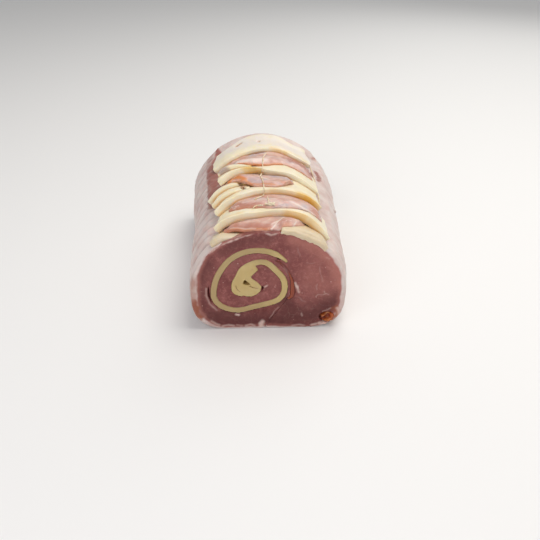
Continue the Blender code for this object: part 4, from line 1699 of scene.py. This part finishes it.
# In the order that they lie on each other
SLICES = (
    CrownSlice(
        "cheese_slice_1", Food.CHEESE, 76, 38, (0, 0, 0, 0),
        (
            # Painted shade over the whole slice
            Mark(Tint.GOLDEN_SHADE, ((17, -80, 74), (36, -80, 62)), 30, 4, 0.2),
            Mark(Tint.DEEP, ((17, -80, 74), (36, -80, 62)), 30, 4, 0.28),
        ),
        thin=0.5, rear=0.8, reach=6, trim=(-3, 0),
    ),
    CrownSlice(
        "cheese_slice_2", Food.CHEESE, 139, 114, (0.8, 0, 0),
        (
            # Painted shade over the whole slice
            Mark(Tint.GOLDEN_SHADE, ((-38, -80, 64), (-20, -80, 72)), 30, 4, 0.15),
            Mark(Tint.DEEP, ((-38, -80, 64), (-20, -80, 72)), 30, 4, 0.25),
        ),
        thin=0.1, taper=2.2, rear=2, reach=5, pull=2.6,
    ),
    CrownSlice(
        "ham_slice_1", Food.HAM, 127, 57, (8, 5, 0.8, 0, 0, 3, 15),
        (
            Mark(Tint.PALE, ((2.1, -84.6, 76), (4.9, -80.1, 75.7), (7.6, -76.7, 76.1),
                             (10.6, -69, 74)), 0.6, 0.8, 0.75),
            Mark(Tint.PALE, ((7, -77.6, 76), (2.4, -79.6, 76)), 0.9, 0.9, 0.7),
            Mark(Tint.PALE, ((15.4, -70, 74), (18.4, -76.3, 74.8), (16.1, -82.6, 74.4)),
                            0.5, 0.8, 0.7),
            Mark(Tint.PALE, ((-25, -76, 71.5), (-16.1, -79.6, 72.3), (-8.4, -83, 73.3)),
                            0.6, 1.2, 0.4),
            Mark(Tint.BROWN, ((-24, -77.4, 71.5), (-12, -82.4, 73), (0, -85, 75)), 0.8, 1.2, 0.5),
            Mark(Tint.ROSY_LEAN, ((-28, -79, 71), (-14, -80, 77.5), (-4, -84, 78)), 7, 6, 0.8),
            Mark(Tint.ROSY_LEAN, ((12, -82, 78), (15, -78, 77.5)), 4, 3, 0.45),
        ),
        dried_edge=0.35, thin=0.6, pull=3.4,
    ),
    CrownSlice(
        "cheese_slice_3", Food.CHEESE, 133.5, 37, (14, 18, 20, 22, 22, 18, 13),
        (
            # Painted golden shade under the lip
            Mark(Tint.GOLDEN_SHADE, ((13, -67, 75.4), (23, -68.4, 71)), 2, 4, 0.7),
            Mark(Tint.GOLDEN_SHADE, ((22, -68, 71.2), (33, -71, 65)), 1, 4, 0.4),
            Mark(Tint.GOLDEN_SHADE, ((-34, -70, 62), (-16, -66, 75)), 0.6, 3, 0.35),
        ),
        trim=(1.2, 0),
    ),
    CrownSlice(
        "ham_slice_2", Food.HAM, 121, 42, (30, 28, 25.5, 25.5, 28.5, 31, 33),
        (
            Mark(Tint.ROSY_LEAN, ((-24, -56, 75), (-10, -60, 80.5)), 6, 5, 0.8),
            Mark(Tint.PALE, ((16.7, -54, 77.9), (24, -57, 74), (32, -57, 69)), 1.2, 1.8, 0.65),
            Mark(Tint.BROWN, ((-22, -60, 76), (-8, -63, 78.4)), 1, 1.4, 0.6),
            Mark(Tint.PALE, ((-8, -50, 82), (0, -52, 82.5), (6, -51, 82)), 1.6, 2, 0.55),
        ),
        dried_edge=0.25,
    ),
    CrownSlice(
        "cheese_slice_4", Food.CHEESE, 130.5, 43, (37, 43, 48.5, 51.5, 52, 51.5, 50.5),
        (
            # Painted golden shade under the lip
            Mark(Tint.GOLDEN_SHADE, ((23, -36.4, 75.4), (34.7, -37.4, 69.4)), 4, 4.5, 0.75),
            Mark(Tint.GOLDEN_SHADE, ((27, -36.4, 74), (34, -37.4, 69.8)), 2, 3, 0.95),
            Mark(Tint.GOLDEN_SHADE, ((4, -37.4, 80), (24, -36.4, 75.4)), 1.2, 3.4, 0.4),
        ),
        trim=(-2.4, 0),
    ),
    CrownSlice(
        "cheese_slice_5", Food.CHEESE, 132.5, 104, (48, 53, 59),
        (
            # Painted shade in a small hollow sunk into the slice
            Mark(Tint.BROWN, ((-16.6, -25, 78), (-15.4, -31, 78.6)), 1.8, 0.8, 1, 2.6),
        ),
        thin=0.3, taper=1, trim=(-2, 0),
    ),
    CrownSlice(
        "cheese_slice_6", Food.CHEESE, 135, 104, (58, 63, 68),
        (
            # Painted shade in a small hollow sunk into the slice, and painted golden shade beside
            # it
            Mark(Tint.BROWN, ((-17.6, -20.5, 77.4), (-16.8, -26, 78)), 1.8, 0.8, 1, 2.6),
            Mark(Tint.GOLDEN_SHADE, ((-20, -19, 77), (-10, -23, 79)), 2.4, 2.4, 0.6),
        ),
        thin=0.3, taper=0.8, trim=(-3, 0),
    ),
    CrownSlice(
        "ham_slice_3", Food.HAM, 129, 66, (75, 73, 64.5, 57.5, 55, 56, 63),
        (
            Mark(Tint.BROWN, ((-27, -16, 75), (-22.9, -14.3, 78), (-19.3, -16.3, 80.3),
                              (-15, -21.9, 81)), 2.6, 1.8, 0.95, -0.9),
            Mark(Tint.BROWN, ((-15, -21.9, 81), (-10.9, -26.9, 80.7), (-5.3, -28.6, 80.4),
                              (6, -31, 81)), 1.4, 1.6, 0.75),
            Mark(Tint.BROWN, ((12, -24, 80), (17, -22, 78)), 7, 4, 0.3),
            Mark(Tint.PALE, ((-6, -14, 84), (2, -20, 84)), 2, 2, 0.5),
        ),
        dried_edge=0.55, corner=10,
    ),
    CrownSlice(
        "cheese_slice_7", Food.CHEESE, 128.5, 42, (71, 79, 87, 89, 88, 80, 78),
        (
            # Painted golden shade under the lip
            Mark(Tint.GOLDEN_SHADE, ((-14.6, -4.6, 81), (-9.1, -1.9, 82), (-3, -1, 82)), 2, 2.4, 0.7),
        ),
        trim=(2.2, 0),
    ),
    CrownSlice(
        "cheese_slice_8", Food.CHEESE, 131, 96, (80, 85, 92),
        (
            # Painted golden shade in the hollow at its right end
            Mark(Tint.GOLDEN_SHADE, ((-12, 6, 82), (-4.6, 5, 81.4)), 4, 3, 0.8),
            Mark(Tint.DEEP, ((-31.6, -6, 81.8), (-28.2, -5, 82.8)), 3.6, 1.8, 0.8),
        ),
        thin=0.1, taper=2.4, trim=(5.5, 6),
    ),
    CrownSlice(
        "ham_slice_4", Food.HAM, 127, 45, (112, 98, 95, 99, 104, 100, 99),
        (
            Mark(Tint.BROWN, ((-18, 9.6, 82), (-6, 7.6, 84), (4, 10.6, 83), (14, 15, 80)),
                             1.8, 1.8, 0.75),
            Mark(Tint.PALE, ((-20, 14, 80), (-8, 12.4, 83), (2, 16, 83)), 2.2, 2.6, 0.7),
            Mark(Tint.PALE, ((2, 20, 81), (6, 28, 80)), 2.4, 2.4, 0.5),
            Mark(Tint.ROSY_LEAN, ((-26, 26, 74), (-14, 22, 79)), 7, 5, 0.45),
            Mark(Tint.DEEP, ((24, 30, 76), (31, 31, 72), (38, 29, 66)), 15, 4, 0.7),
        ),
        dried_edge=0.45, sag=7.5,
    ),
    CrownSlice(
        "cheese_slice_9", Food.CHEESE, 137, 39, (125, 127, 133, 135, 134, 128, 131),
        (
            # Painted highlight behind its lip, two small holes with painted shade in them, and a
            # fold at the right with painted golden shade
            Mark(Tint.PALE, ((-26, 66, 73), (-10, 68, 78), (8, 68, 78.5), (24, 62, 74.5),
                             (36, 60, 66)), 24, 9, 1),
            Mark(Tint.GOLDEN_SHADE, ((7, 48.4, 79.2), (12.1, 46.4, 77.7), (18, 44, 75.4)), 0.8, 3.2, 0.6),
            Mark(Tint.GOLDEN_SHADE, ((22, 47, 74), (32, 43, 68)), 3, 3, 0.25),
            Mark(Tint.BROWN, ((-21.6, 71, 74.6), (-18.6, 73, 75.4)), 2.8, 1.2, 0.9, 1.8),
            Mark(Tint.BROWN, ((-2.9, 64.4, 79.2), (-2.6, 68.4, 79.2)), 1.8, 1, 0.85, 1.6),
            Mark(Tint.RECESS_SHADE, ((-24, 66.5, 73.5), (-15, 67.8, 76.8)), 1.6, 1.2, 0.5, 0.5),
            Mark(Tint.RECESS_SHADE, ((20.2, 60.5, 75.3), (26.8, 59, 72.6), (32.4, 50, 70.4)),
                              0.6, 0.7, 0.5, 0.5),
        ),
        rear=1, trim=(-2.4, 4.5),
    ),
)


@dataclass
class CrownSlices:
    """The slices of cheese and ham that overlap along the crown like tiles."""

    # How far above its underside each slice starts to look for what is below it, and how far
    # it looks and presses in
    search_mm: float = 1.6
    reach_mm: float = 12.0
    press_mm: float = 0.35
    # How far a slice is lifted at most where it lies too deep
    lift_mm: float = 1.2
    neighbours: int = 6
    thinned_mm: float = 2.6
    # How far is looked for what closes a recess in, in these ways beside the surface's own
    ray_mm: float = 7.0
    start_mm: float = 0.3
    tilts: Tuple[Point3, ...] = (
        (0.0, 0.0, 0.0), (0.0, -1.2, 0.3), (0.0, 1.2, 0.3), (1.0, 0.0, 0.2), (-1.0, 0.0, 0.2),
    )
    closed_in: float = 2.6
    # Where things fade in or out: in millimetres behind the front edge, or across the slice
    pull_mm: Span = (0.0, 14.0)
    reach_out_mm: Span = (5.0, 15.0)
    corner_mm: Span = (0.0, 16.0)
    corner_share: Span = (0.0, 0.3)
    edge_mm: Span = (2.0, 8.0)
    side_share: Span = (0.02, 0.09)
    taper_share: Span = (0.35, 0.95)
    rear_mm: Span = (8.0, 30.0)
    lip_mm: Span = (1.0, 6.0)
    dried_mm: Span = (0.8, 3.6)
    # Each slice's own unevenness is this one and its number, and the dried edges share one
    seed: int = 31
    dried_seed: int = 57

    def smooth_copy(self, piece: CrownSlice) -> Mesh:
        """Copies a slice, joins its triangles to quads, rounds it and draws its ends in.

        Args:
            piece: The slice.

        Returns:
            The rounded slice.
        """
        obj = node_copy(piece.node, piece.node + "_draped")
        edit_all(obj)
        bpy.ops.mesh.tris_convert_to_quads(face_threshold=1.2, shape_threshold=1.2)
        bpy.ops.object.mode_set(mode="OBJECT")
        for kind in ("SIMPLE", "CATMULL_CLARK"):
            finish_with(obj, "SUBSURF", subdivision_type=kind, levels=1, render_levels=1)
        points = places(obj)
        share = (crown_angle(points) - piece.right) / (piece.left - piece.right)
        turn = np.radians(piece.trim[1]) * np.clip(1.0 - 2.0 * share, 0.0, 1.2)
        turn -= np.radians(piece.trim[0]) * np.clip(2.0 * share - 1.0, 0.0, 1.2)
        x, z = points[:, 0] - CORE_LINE[0], points[:, 2] - CORE_LINE[1]
        points[:, 0] = CORE_LINE[0] + x * np.cos(turn) - z * np.sin(turn)
        points[:, 2] = CORE_LINE[1] + x * np.sin(turn) + z * np.cos(turn)
        behind = piece.behind(points) + piece.pull
        points[:, 1] += piece.pull * (1.0 - smooth_step(behind, *self.pull_mm))
        points[:, 1] += piece.reach * smooth_step(behind, *self.reach_out_mm)
        corner = 1.0 - smooth_step(share, *self.corner_share)
        corner = corner * (1.0 - smooth_step(behind, *self.corner_mm))
        points[:, 1] += piece.corner * corner
        set_places(obj, points)
        return obj

    def settle(self, piece: CrownSlice, obj: Mesh, below: Sequence[BVHTree]) -> None:
        """Lets a slice sag until it lies on what is below it, most of all at its edges.

        Args:
            piece: The slice.
            obj: Its mesh.
            below: The surfaces that it can lie on.
        """
        points = places(obj)
        inward = np.zeros(points.shape)
        inward[:, 0] = CORE_LINE[0] - points[:, 0]
        inward[:, 2] = CORE_LINE[1] - points[:, 2]
        inward /= np.linalg.norm(inward, axis=1)[:, None]
        turned_in = np.sum(normals(obj) * inward, axis=1)
        under = np.where(turned_in > 0.2)[0]
        tree = KDTree(len(under))
        space = np.zeros(len(points))
        for number in under:
            way = Vector(inward[number])
            start = Vector(points[number] * MM) - way * (self.search_mm * MM)
            hit = first_hit(below, start, way, self.reach_mm)
            if hit is not None:
                space[number] = hit - self.search_mm
            tree.insert(Vector(points[number]), int(number))
        tree.balance()
        near = [tree.find_n(Vector(point), self.neighbours) for point in points]
        room = np.array([np.mean([space[number] for _, number, _ in found]) for found in near])
        room = np.clip(room + self.press_mm, -self.lift_mm, piece.sag)
        behind = piece.behind(points)
        share = piece.share(points)
        from_side = smooth_step(np.minimum(share, 1.0 - share), *self.side_share)
        edge = np.maximum(1.0 - smooth_step(behind, *self.edge_mm), 1.0 - from_side)
        softness = SOFTNESS[piece.food]
        top_share = np.where(room < 0.0, 1.0, softness.follow + softness.edge_follow * edge)
        height = np.clip(0.5 - 0.75 * turned_in, 0.0, 1.0)
        drop = room * (1.0 - height * (1.0 - top_share))
        thinner = piece.thin + piece.taper * smooth_step(share, *self.taper_share)
        thinner = thinner + piece.rear * smooth_step(behind, *self.rear_mm)
        drop += height * np.minimum(thinner, self.thinned_mm)
        set_places(obj, points + inward * drop[:, None])
        finish_with(obj, "SMOOTH", factor=0.4, iterations=1)

    def find_recesses(self, slices: Sequence[Mesh]) -> None:
        """Works out how closed in each point of the slices is, by looking out from it, for the
        painted shade in their recesses.

        Args:
            slices: All the slices, rounded.
        """
        corners: List[Vector] = []
        faces: List[Tuple[int, ...]] = []
        for obj in slices:
            start = len(corners)
            corners += [v.co.copy() for v in obj.data.vertices]
            faces += [tuple(start + i for i in p.vertices) for p in obj.data.polygons]
        tree = BVHTree.FromPolygons(corners, faces)
        reach = self.ray_mm * MM
        tilts = [Vector(tilt) for tilt in self.tilts]
        for obj in slices:
            found = np.zeros(len(obj.data.vertices))
            for number, vertex in enumerate(obj.data.vertices):
                normal = vertex.normal
                if normal.z < -0.3:
                    continue
                start = vertex.co + normal * (self.start_mm * MM)
                hits = [tree.ray_cast(start, (normal + tilt).normalized(), reach) for tilt in tilts]
                total = sum(1.0 - away / reach for hit, _, _, away in hits if hit is not None)
                found[number] = min(1.0, total / self.closed_in)
            store(obj, Tint.RECESS_SHADE, found)

    def build(self, loin: Mesh, finishes: Dict[Food, Material]) -> List[Mesh]:
        """Builds all slices.

        Args:
            loin: The loin that they lie on.
            finishes: The finishes of the cheese and of the ham.

        Returns:
            The finished pieces.
        """
        made: List[Mesh] = []
        below: List[BVHTree] = []
        for piece in SLICES:
            lowest = made[-1] if made else loin
            below.append(BVHTree.FromObject(lowest, bpy.context.evaluated_depsgraph_get()))
            made.append(self.smooth_copy(piece))
            self.settle(piece, made[-1], below)
        self.find_recesses(made)
        for number, (piece, obj) in enumerate(zip(SLICES, made)):
            finish_with(obj, "SUBSURF", levels=1, render_levels=1)
            self.shape(piece, obj, Waviness(self.seed + number))
            add_marks(obj, piece.marks, flat=True)
            if piece.dried_edge:
                self.dry_edge(piece, obj)
            dress(obj, finishes[piece.food], piece.food.value, piece.node)
        return made

    def shape(self, piece: CrownSlice, obj: Mesh, wave: Waviness) -> None:
        """Makes a slice as uneven as a real one.

        Args:
            piece: The slice.
            obj: Its mesh.
            wave: Its own unevenness.
        """
        points = places(obj)
        softness = SOFTNESS[piece.food]
        lip = 1.0 - smooth_step(np.abs(piece.behind(points)), *self.lip_mm)
        push(obj, softness.skin.at(wave, points))
        shift = wave.rough(points * np.array([1.0, 0.0, 1.0]), softness.wave) * softness.wave_depth
        points = places(obj)
        points[:, 1] += np.maximum(shift * lip, FRONT + 0.1 - points[:, 1]) * (points[:, 1] > FRONT)
        set_places(obj, points)

    def dry_edge(self, piece: CrownSlice, obj: Mesh) -> None:
        """Browns the front edge of a slice of ham.

        Args:
            piece: The slice.
            obj: Its mesh.
        """
        points = places(obj)
        rim = 1.0 - smooth_step(piece.behind(points), *self.dried_mm)
        patchy = 0.6 + 0.6 * Waviness(self.dried_seed).at(points, 6.0)
        brown = np.maximum(rim * patchy * piece.dried_edge, stored(obj, Tint.BROWN))
        store(obj, Tint.BROWN, np.clip(brown, 0.0, 1.0))


# ----- The twine -----


def lengths_along(line: Array) -> Array:
    """Returns how far along a line each of its points is."""
    return np.concatenate([[0.0], np.cumsum(np.linalg.norm(np.diff(line, axis=0), axis=1))])


@dataclass
class Twine:
    """The thin thread that shows in short lengths along the crown, and its knot."""

    strand_mm: float = 0.27
    # How far the strands are from the middle, as a share of their half thickness
    strand_offset: float = 0.72
    lay_mm: float = 2.6
    step_mm: float = 0.35
    lift_mm: float = 0.36
    # From how far out, and how far, is looked for what the thread lies on
    search_mm: float = 4.0
    reach_mm: float = 14.0
    taut_steps: int = 2
    smooth_steps: int = 2
    # The ham sagged under the knot, which moves it back so that it shows above the cheese
    knot_shift: float = 3.6
    knot_search: float = 3.0
    knot_steps: int = 90
    routes: Tuple[Tuple[str, Tuple[Point3, ...]], ...] = (
        (
            "twine_tail",
            ((-3, -61.2, 82.4), (-5.4, -60.8, 82), (-7.8, -61.4, 81.5), (-9.9, -62.9, 80.9)),
        ),
        (
            "twine_short",
            ((1.2, -58.6, 83.4), (1, -55.4, 82.9), (0.8, -51.8, 81.9), (0.7, -47.4, 81)),
        ),
        (
            "twine_right",
            ((41.8, -18.4, 62.4), (41.6, -13.5, 62.3), (42.6, -8.8, 63.3), (42.5, -3.9, 63.4),
             (42.1, 1, 63.4), (41.8, 5.9, 63.3), (42.3, 10.7, 63.9), (42, 15.6, 64),
             (41.7, 20.5, 63.9), (41.1, 25.3, 63.6), (40.6, 30.2, 63.5), (40.1, 35.1, 63.4),
             (41.1, 39.6, 64.4), (41.9, 44.1, 65.4), (41.5, 49, 65.4), (41, 53.9, 65.3),
             (40.6, 58.7, 65.3), (40.1, 63.6, 65.3)),
        ),
        (
            "twine_centre",
            ((-8.6, -51.9, 81.2), (-5.9, -47.8, 80.7), (-3.3, -43.8, 79.7), (-1.6, -40.1, 81.7),
             (-1.3, -35.7, 83.8), (-1.6, -31.2, 85.4), (-2, -26.3, 85.4), (-2.8, -21.4, 85.2),
             (-3.5, -16.6, 84.8), (-3.5, -11.8, 83.6), (-2.8, -7.2, 82), (-2.2, -2.9, 82.7),
             (-1.8, 0.9, 85.8), (-1.4, 5.2, 87.7), (-1.1, 9.3, 89.6), (-0.7, 13.9, 87.8),
             (-0.2, 18.3, 85.7), (0.3, 22.8, 83.9), (0.9, 27.5, 82.5), (1.4, 32.2, 81),
             (2, 36.9, 79.6), (2.5, 41.6, 78.4)),
        ),
    )

    def smooth_route(self, route: Sequence[Point3]) -> Array:
        """Rounds a route and sets points along it at even steps.

        Args:
            route: Its points.

        Returns:
            The points of the rounded route.
        """
        points = np.array(route, float)
        for _ in range(3):
            middle = np.empty((2 * len(points) - 1, 3))
            middle[::2] = points
            middle[1::2] = (points[:-1] + points[1:]) / 2.0
            middle[1:-1] = (middle[:-2] + 2.0 * middle[1:-1] + middle[2:]) / 4.0
            points = middle
        lengths = lengths_along(points)
        count = max(4, int(lengths[-1] / self.step_mm))
        at = np.linspace(0.0, lengths[-1], count)
        return np.column_stack([np.interp(at, lengths, points[:, i]) for i in range(3)])

    def strands(self, name: str, route: Array) -> Mesh:
        """Twists two strands round a route.

        Args:
            name: The thread's name.
            route: Points along its middle.

        Returns:
            The thread as one mesh.
        """
        along = np.gradient(route, axis=0)
        along /= np.linalg.norm(along, axis=1)[:, None]
        side = np.cross(along, np.array([0.0, 0.0, 1.0]))
        side /= np.linalg.norm(side, axis=1)[:, None]
        rise = np.cross(side, along)
        curve = bpy.data.curves.new(name, "CURVE")
        curve.dimensions = "3D"
        curve.bevel_depth = self.strand_mm * MM
        curve.bevel_resolution = 2
        curve.use_fill_caps = True
        for phase in (0.0, math.pi):
            turn = lengths_along(route) / self.lay_mm * 2.0 * math.pi + phase
            offset = side * np.cos(turn)[:, None] + rise * np.sin(turn)[:, None]
            line = (route + offset * self.strand_mm * self.strand_offset) * MM
            spline = curve.splines.new("POLY")
            spline.points.add(len(line) - 1)
            spline.points.foreach_set("co", np.column_stack([line, np.ones(len(line))]).ravel())
        obj = bpy.data.objects.new(name, curve)
        bpy.context.scene.collection.objects.link(obj)
        only(obj)
        bpy.ops.object.convert(target="MESH")
        return bpy.context.object

    def knot(self, below: Sequence[BVHTree]) -> Mesh:
        """Makes the small knot: the thread wound over itself, lying on the ham.

        Args:
            below: The surfaces that it can lie on.

        Returns:
            The knot as one mesh.
        """
        low, high = (np.array(corner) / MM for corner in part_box("twine_knot"))
        middle = (low + high) / 2.0 + np.array([0.0, self.knot_shift, 0.0])
        half = (high - low) / 2.0 - 0.5
        top = high[2] + self.knot_search
        start = Vector((middle[0], middle[1], top)) * MM
        hit = first_hit(below, start, Vector((0.0, 0.0, -1.0)), self.reach_mm)
        if hit is not None:
            middle[2] = top - hit + half[2] * 0.8 + self.strand_mm
        swing = np.linspace(0.0, 1.0, self.knot_steps) * 2.0 * math.pi
        loop = np.column_stack(
            [
                middle[0] + half[0] * np.sin(2.0 * swing) * 0.95,
                middle[1] + half[1] * np.cos(3.0 * swing) * 0.8,
                middle[2] + half[2] * np.sin(5.0 * swing + 0.6) * 0.8,
            ]
        )
        return self.strands("twine_knot_tied", loop)

    def laid(self, route: Array, below: Sequence[BVHTree]) -> Array:
        """Lowers a route onto what is below it, towards the middle of the roast.

        Args:
            route: Points along the thread's middle.
            below: The surfaces that it can lie on.

        Returns:
            The route where it lies.
        """
        middle = route.copy()
        middle[:, 0], middle[:, 2] = CORE_LINE
        outward = route - middle
        reach = np.linalg.norm(outward, axis=1)
        outward /= reach[:, None]
        for number, point in enumerate(route):
            start = Vector(point + outward[number] * self.search_mm) * MM
            hit = first_hit(below, start, Vector(-outward[number]), self.reach_mm)
            if hit is not None:
                reach[number] += self.search_mm - hit + self.lift_mm
        wide = np.pad(reach, self.taut_steps, mode="edge")
        taut = np.array([wide[i : i + 2 * self.taut_steps + 1].max() for i in range(len(reach))])
        padded = np.pad(taut, self.smooth_steps, mode="edge")
        count = 2 * self.smooth_steps + 1
        smooth = np.convolve(padded, np.ones(count) / count, mode="valid")
        return middle + outward * smooth[:, None]

    def build(self, carriers: Sequence[Mesh], material: Material) -> None:
        """Builds the lengths of thread and the knot.

        Args:
            carriers: The pieces that they lie on.
            material: Their finish.
        """
        graph = bpy.context.evaluated_depsgraph_get()
        below = [BVHTree.FromObject(obj, graph) for obj in carriers]
        made = {
            node: self.strands(node + "_twisted", self.laid(self.smooth_route(route), below))
            for node, route in self.routes
        }
        made["twine_knot"] = self.knot(below)
        for node, obj in made.items():
            # Painted shade in the hollows between the strands
            store(obj, Tint.GROOVE_SHADE, smooth_step(-relief_height(obj, 4), 0.0, 0.1))
            dress(obj, material, "cotton_twine", node)


# ----- The studio -----


@dataclass(frozen=True)
class Lamp:
    """A soft square light that looks at the roast: its place and its side in metres, its power
    in watts and its colour."""

    name: str
    place: Point3
    side: float
    power: float
    colour: str


@dataclass
class Studio:
    """A pale floor, soft light and a camera at the photograph's angle."""

    eye: Point3 = (-13.49, -479.07, 270.6)
    yaw: float = 2.1
    pitch: float = 29.9
    lens: float = 46.467
    sensor: float = 36.0
    # These are metres
    near_and_far: Point2 = (0.01, 50.0)
    floor_side: float = 12.0
    floor_colour: str = "#eeeeee"
    aim: Point3 = (0.0, 0.0, 0.04)
    lamps: Tuple[Lamp, ...] = (
        Lamp("key", (0.3, 0.05, 1.0), 0.7, 6.8, "#fffaf3"),
        Lamp("fill", (-0.4, -0.85, 0.55), 0.8, 3.5, "#fbfaff"),
        Lamp("back", (0.5, 0.8, 0.6), 0.7, 1.8, "#fffdf8"),
    )
    sky_colour: str = "#f4f4f4"
    sky_strength: float = 0.42

    def place_camera(self) -> None:
        """Places the camera."""
        data = bpy.data.cameras.new("camera")
        data.lens = self.lens
        data.sensor_width = self.sensor
        data.clip_start, data.clip_end = self.near_and_far
        eye = bpy.data.objects.new("camera", data)
        eye.location = Vector(self.eye) * MM
        yaw, pitch = math.radians(self.yaw), math.radians(self.pitch)
        ahead = Vector(
            (math.sin(yaw) * math.cos(pitch), math.cos(yaw) * math.cos(pitch), -math.sin(pitch))
        )
        eye.rotation_mode = "QUATERNION"
        eye.rotation_quaternion = ahead.to_track_quat("-Z", "Y")
        bpy.context.scene.collection.objects.link(eye)
        bpy.context.scene.camera = eye

    def lay_floor(self) -> None:
        """Lays the floor."""
        bpy.ops.object.select_all(action="DESELECT")
        bpy.ops.mesh.primitive_plane_add(size=self.floor_side, location=(0.0, 0.0, 0.0))
        plane = bpy.context.object
        plane.name = "floor"
        finish = Finish("pale_floor")
        shader = {"Base Color": self.floor_colour, "Roughness": 0.6}
        plane.data.materials.append(finish.close(shader))

    def hang(self, lamp: Lamp) -> None:
        """Adds a light that looks at the roast.

        Args:
            lamp: The light.
        """
        data = bpy.data.lights.new(lamp.name, "AREA")
        data.shape = "SQUARE"
        data.size = lamp.side
        data.energy = lamp.power
        data.color = linear(lamp.colour)[:3]
        light = bpy.data.objects.new(lamp.name, data)
        light.location = lamp.place
        light.rotation_mode = "QUATERNION"
        ahead = Vector(self.aim) - Vector(lamp.place)
        light.rotation_quaternion = ahead.to_track_quat("-Z", "Y")
        bpy.context.scene.collection.objects.link(light)

    def build(self) -> None:
        """Builds the whole studio."""
        self.place_camera()
        self.lay_floor()
        for lamp in self.lamps:
            self.hang(lamp)
        world = bpy.data.worlds.new("studio")
        bpy.context.scene.world = world
        world.use_nodes = True
        sky = world.node_tree.nodes["Background"]
        sky.inputs["Color"].default_value = linear(self.sky_colour)
        sky.inputs["Strength"].default_value = self.sky_strength
        bpy.context.scene.view_settings.view_transform = "Standard"


def main() -> None:
    """Builds the roast piece by piece in its studio."""
    logging.basicConfig(level=logging.INFO, format="%(message)s")
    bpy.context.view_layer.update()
    Studio().build()
    loin = RolledLoin().build(RawPork().make())
    filling = Filling()
    # The cheese in the roll is darker and more khaki than the slices: partly its own colour, partly
    # painted shade, as the cut face takes less light
    rolled_cheese = SlicedCheese(
        name="rolled_cheese", body="#c8b077", cream="#d0bc87", pale="#d0bc87", warm="#bc9f68",
        golden="#c2963a", through="#aa9067",
    )
    filling.cheese(rolled_cheese.make())
    rolled_ham = CookedHam(
        name="rolled_ham", pink="#96503f", rose="#7e392c", lilac="#8c5550", dried="#94431f",
        streak="#b98470",
    )
    filling.ham(rolled_ham.make())
    ham_scrap = CookedHam(
        name="ham_scrap", pink="#b25a28", rose="#a04a1c", lilac="#be7434", dried="#7a280e",
        streak="#cf9564",
    )
    HamScrap().build(ham_scrap.make())
    finishes = {Food.CHEESE: SlicedCheese().make(), Food.HAM: CookedHam().make()}
    slices = CrownSlices().build(loin, finishes)
    Twine().build([loin, *slices], CottonTwine().make())


if __name__ == "__main__":
    main()
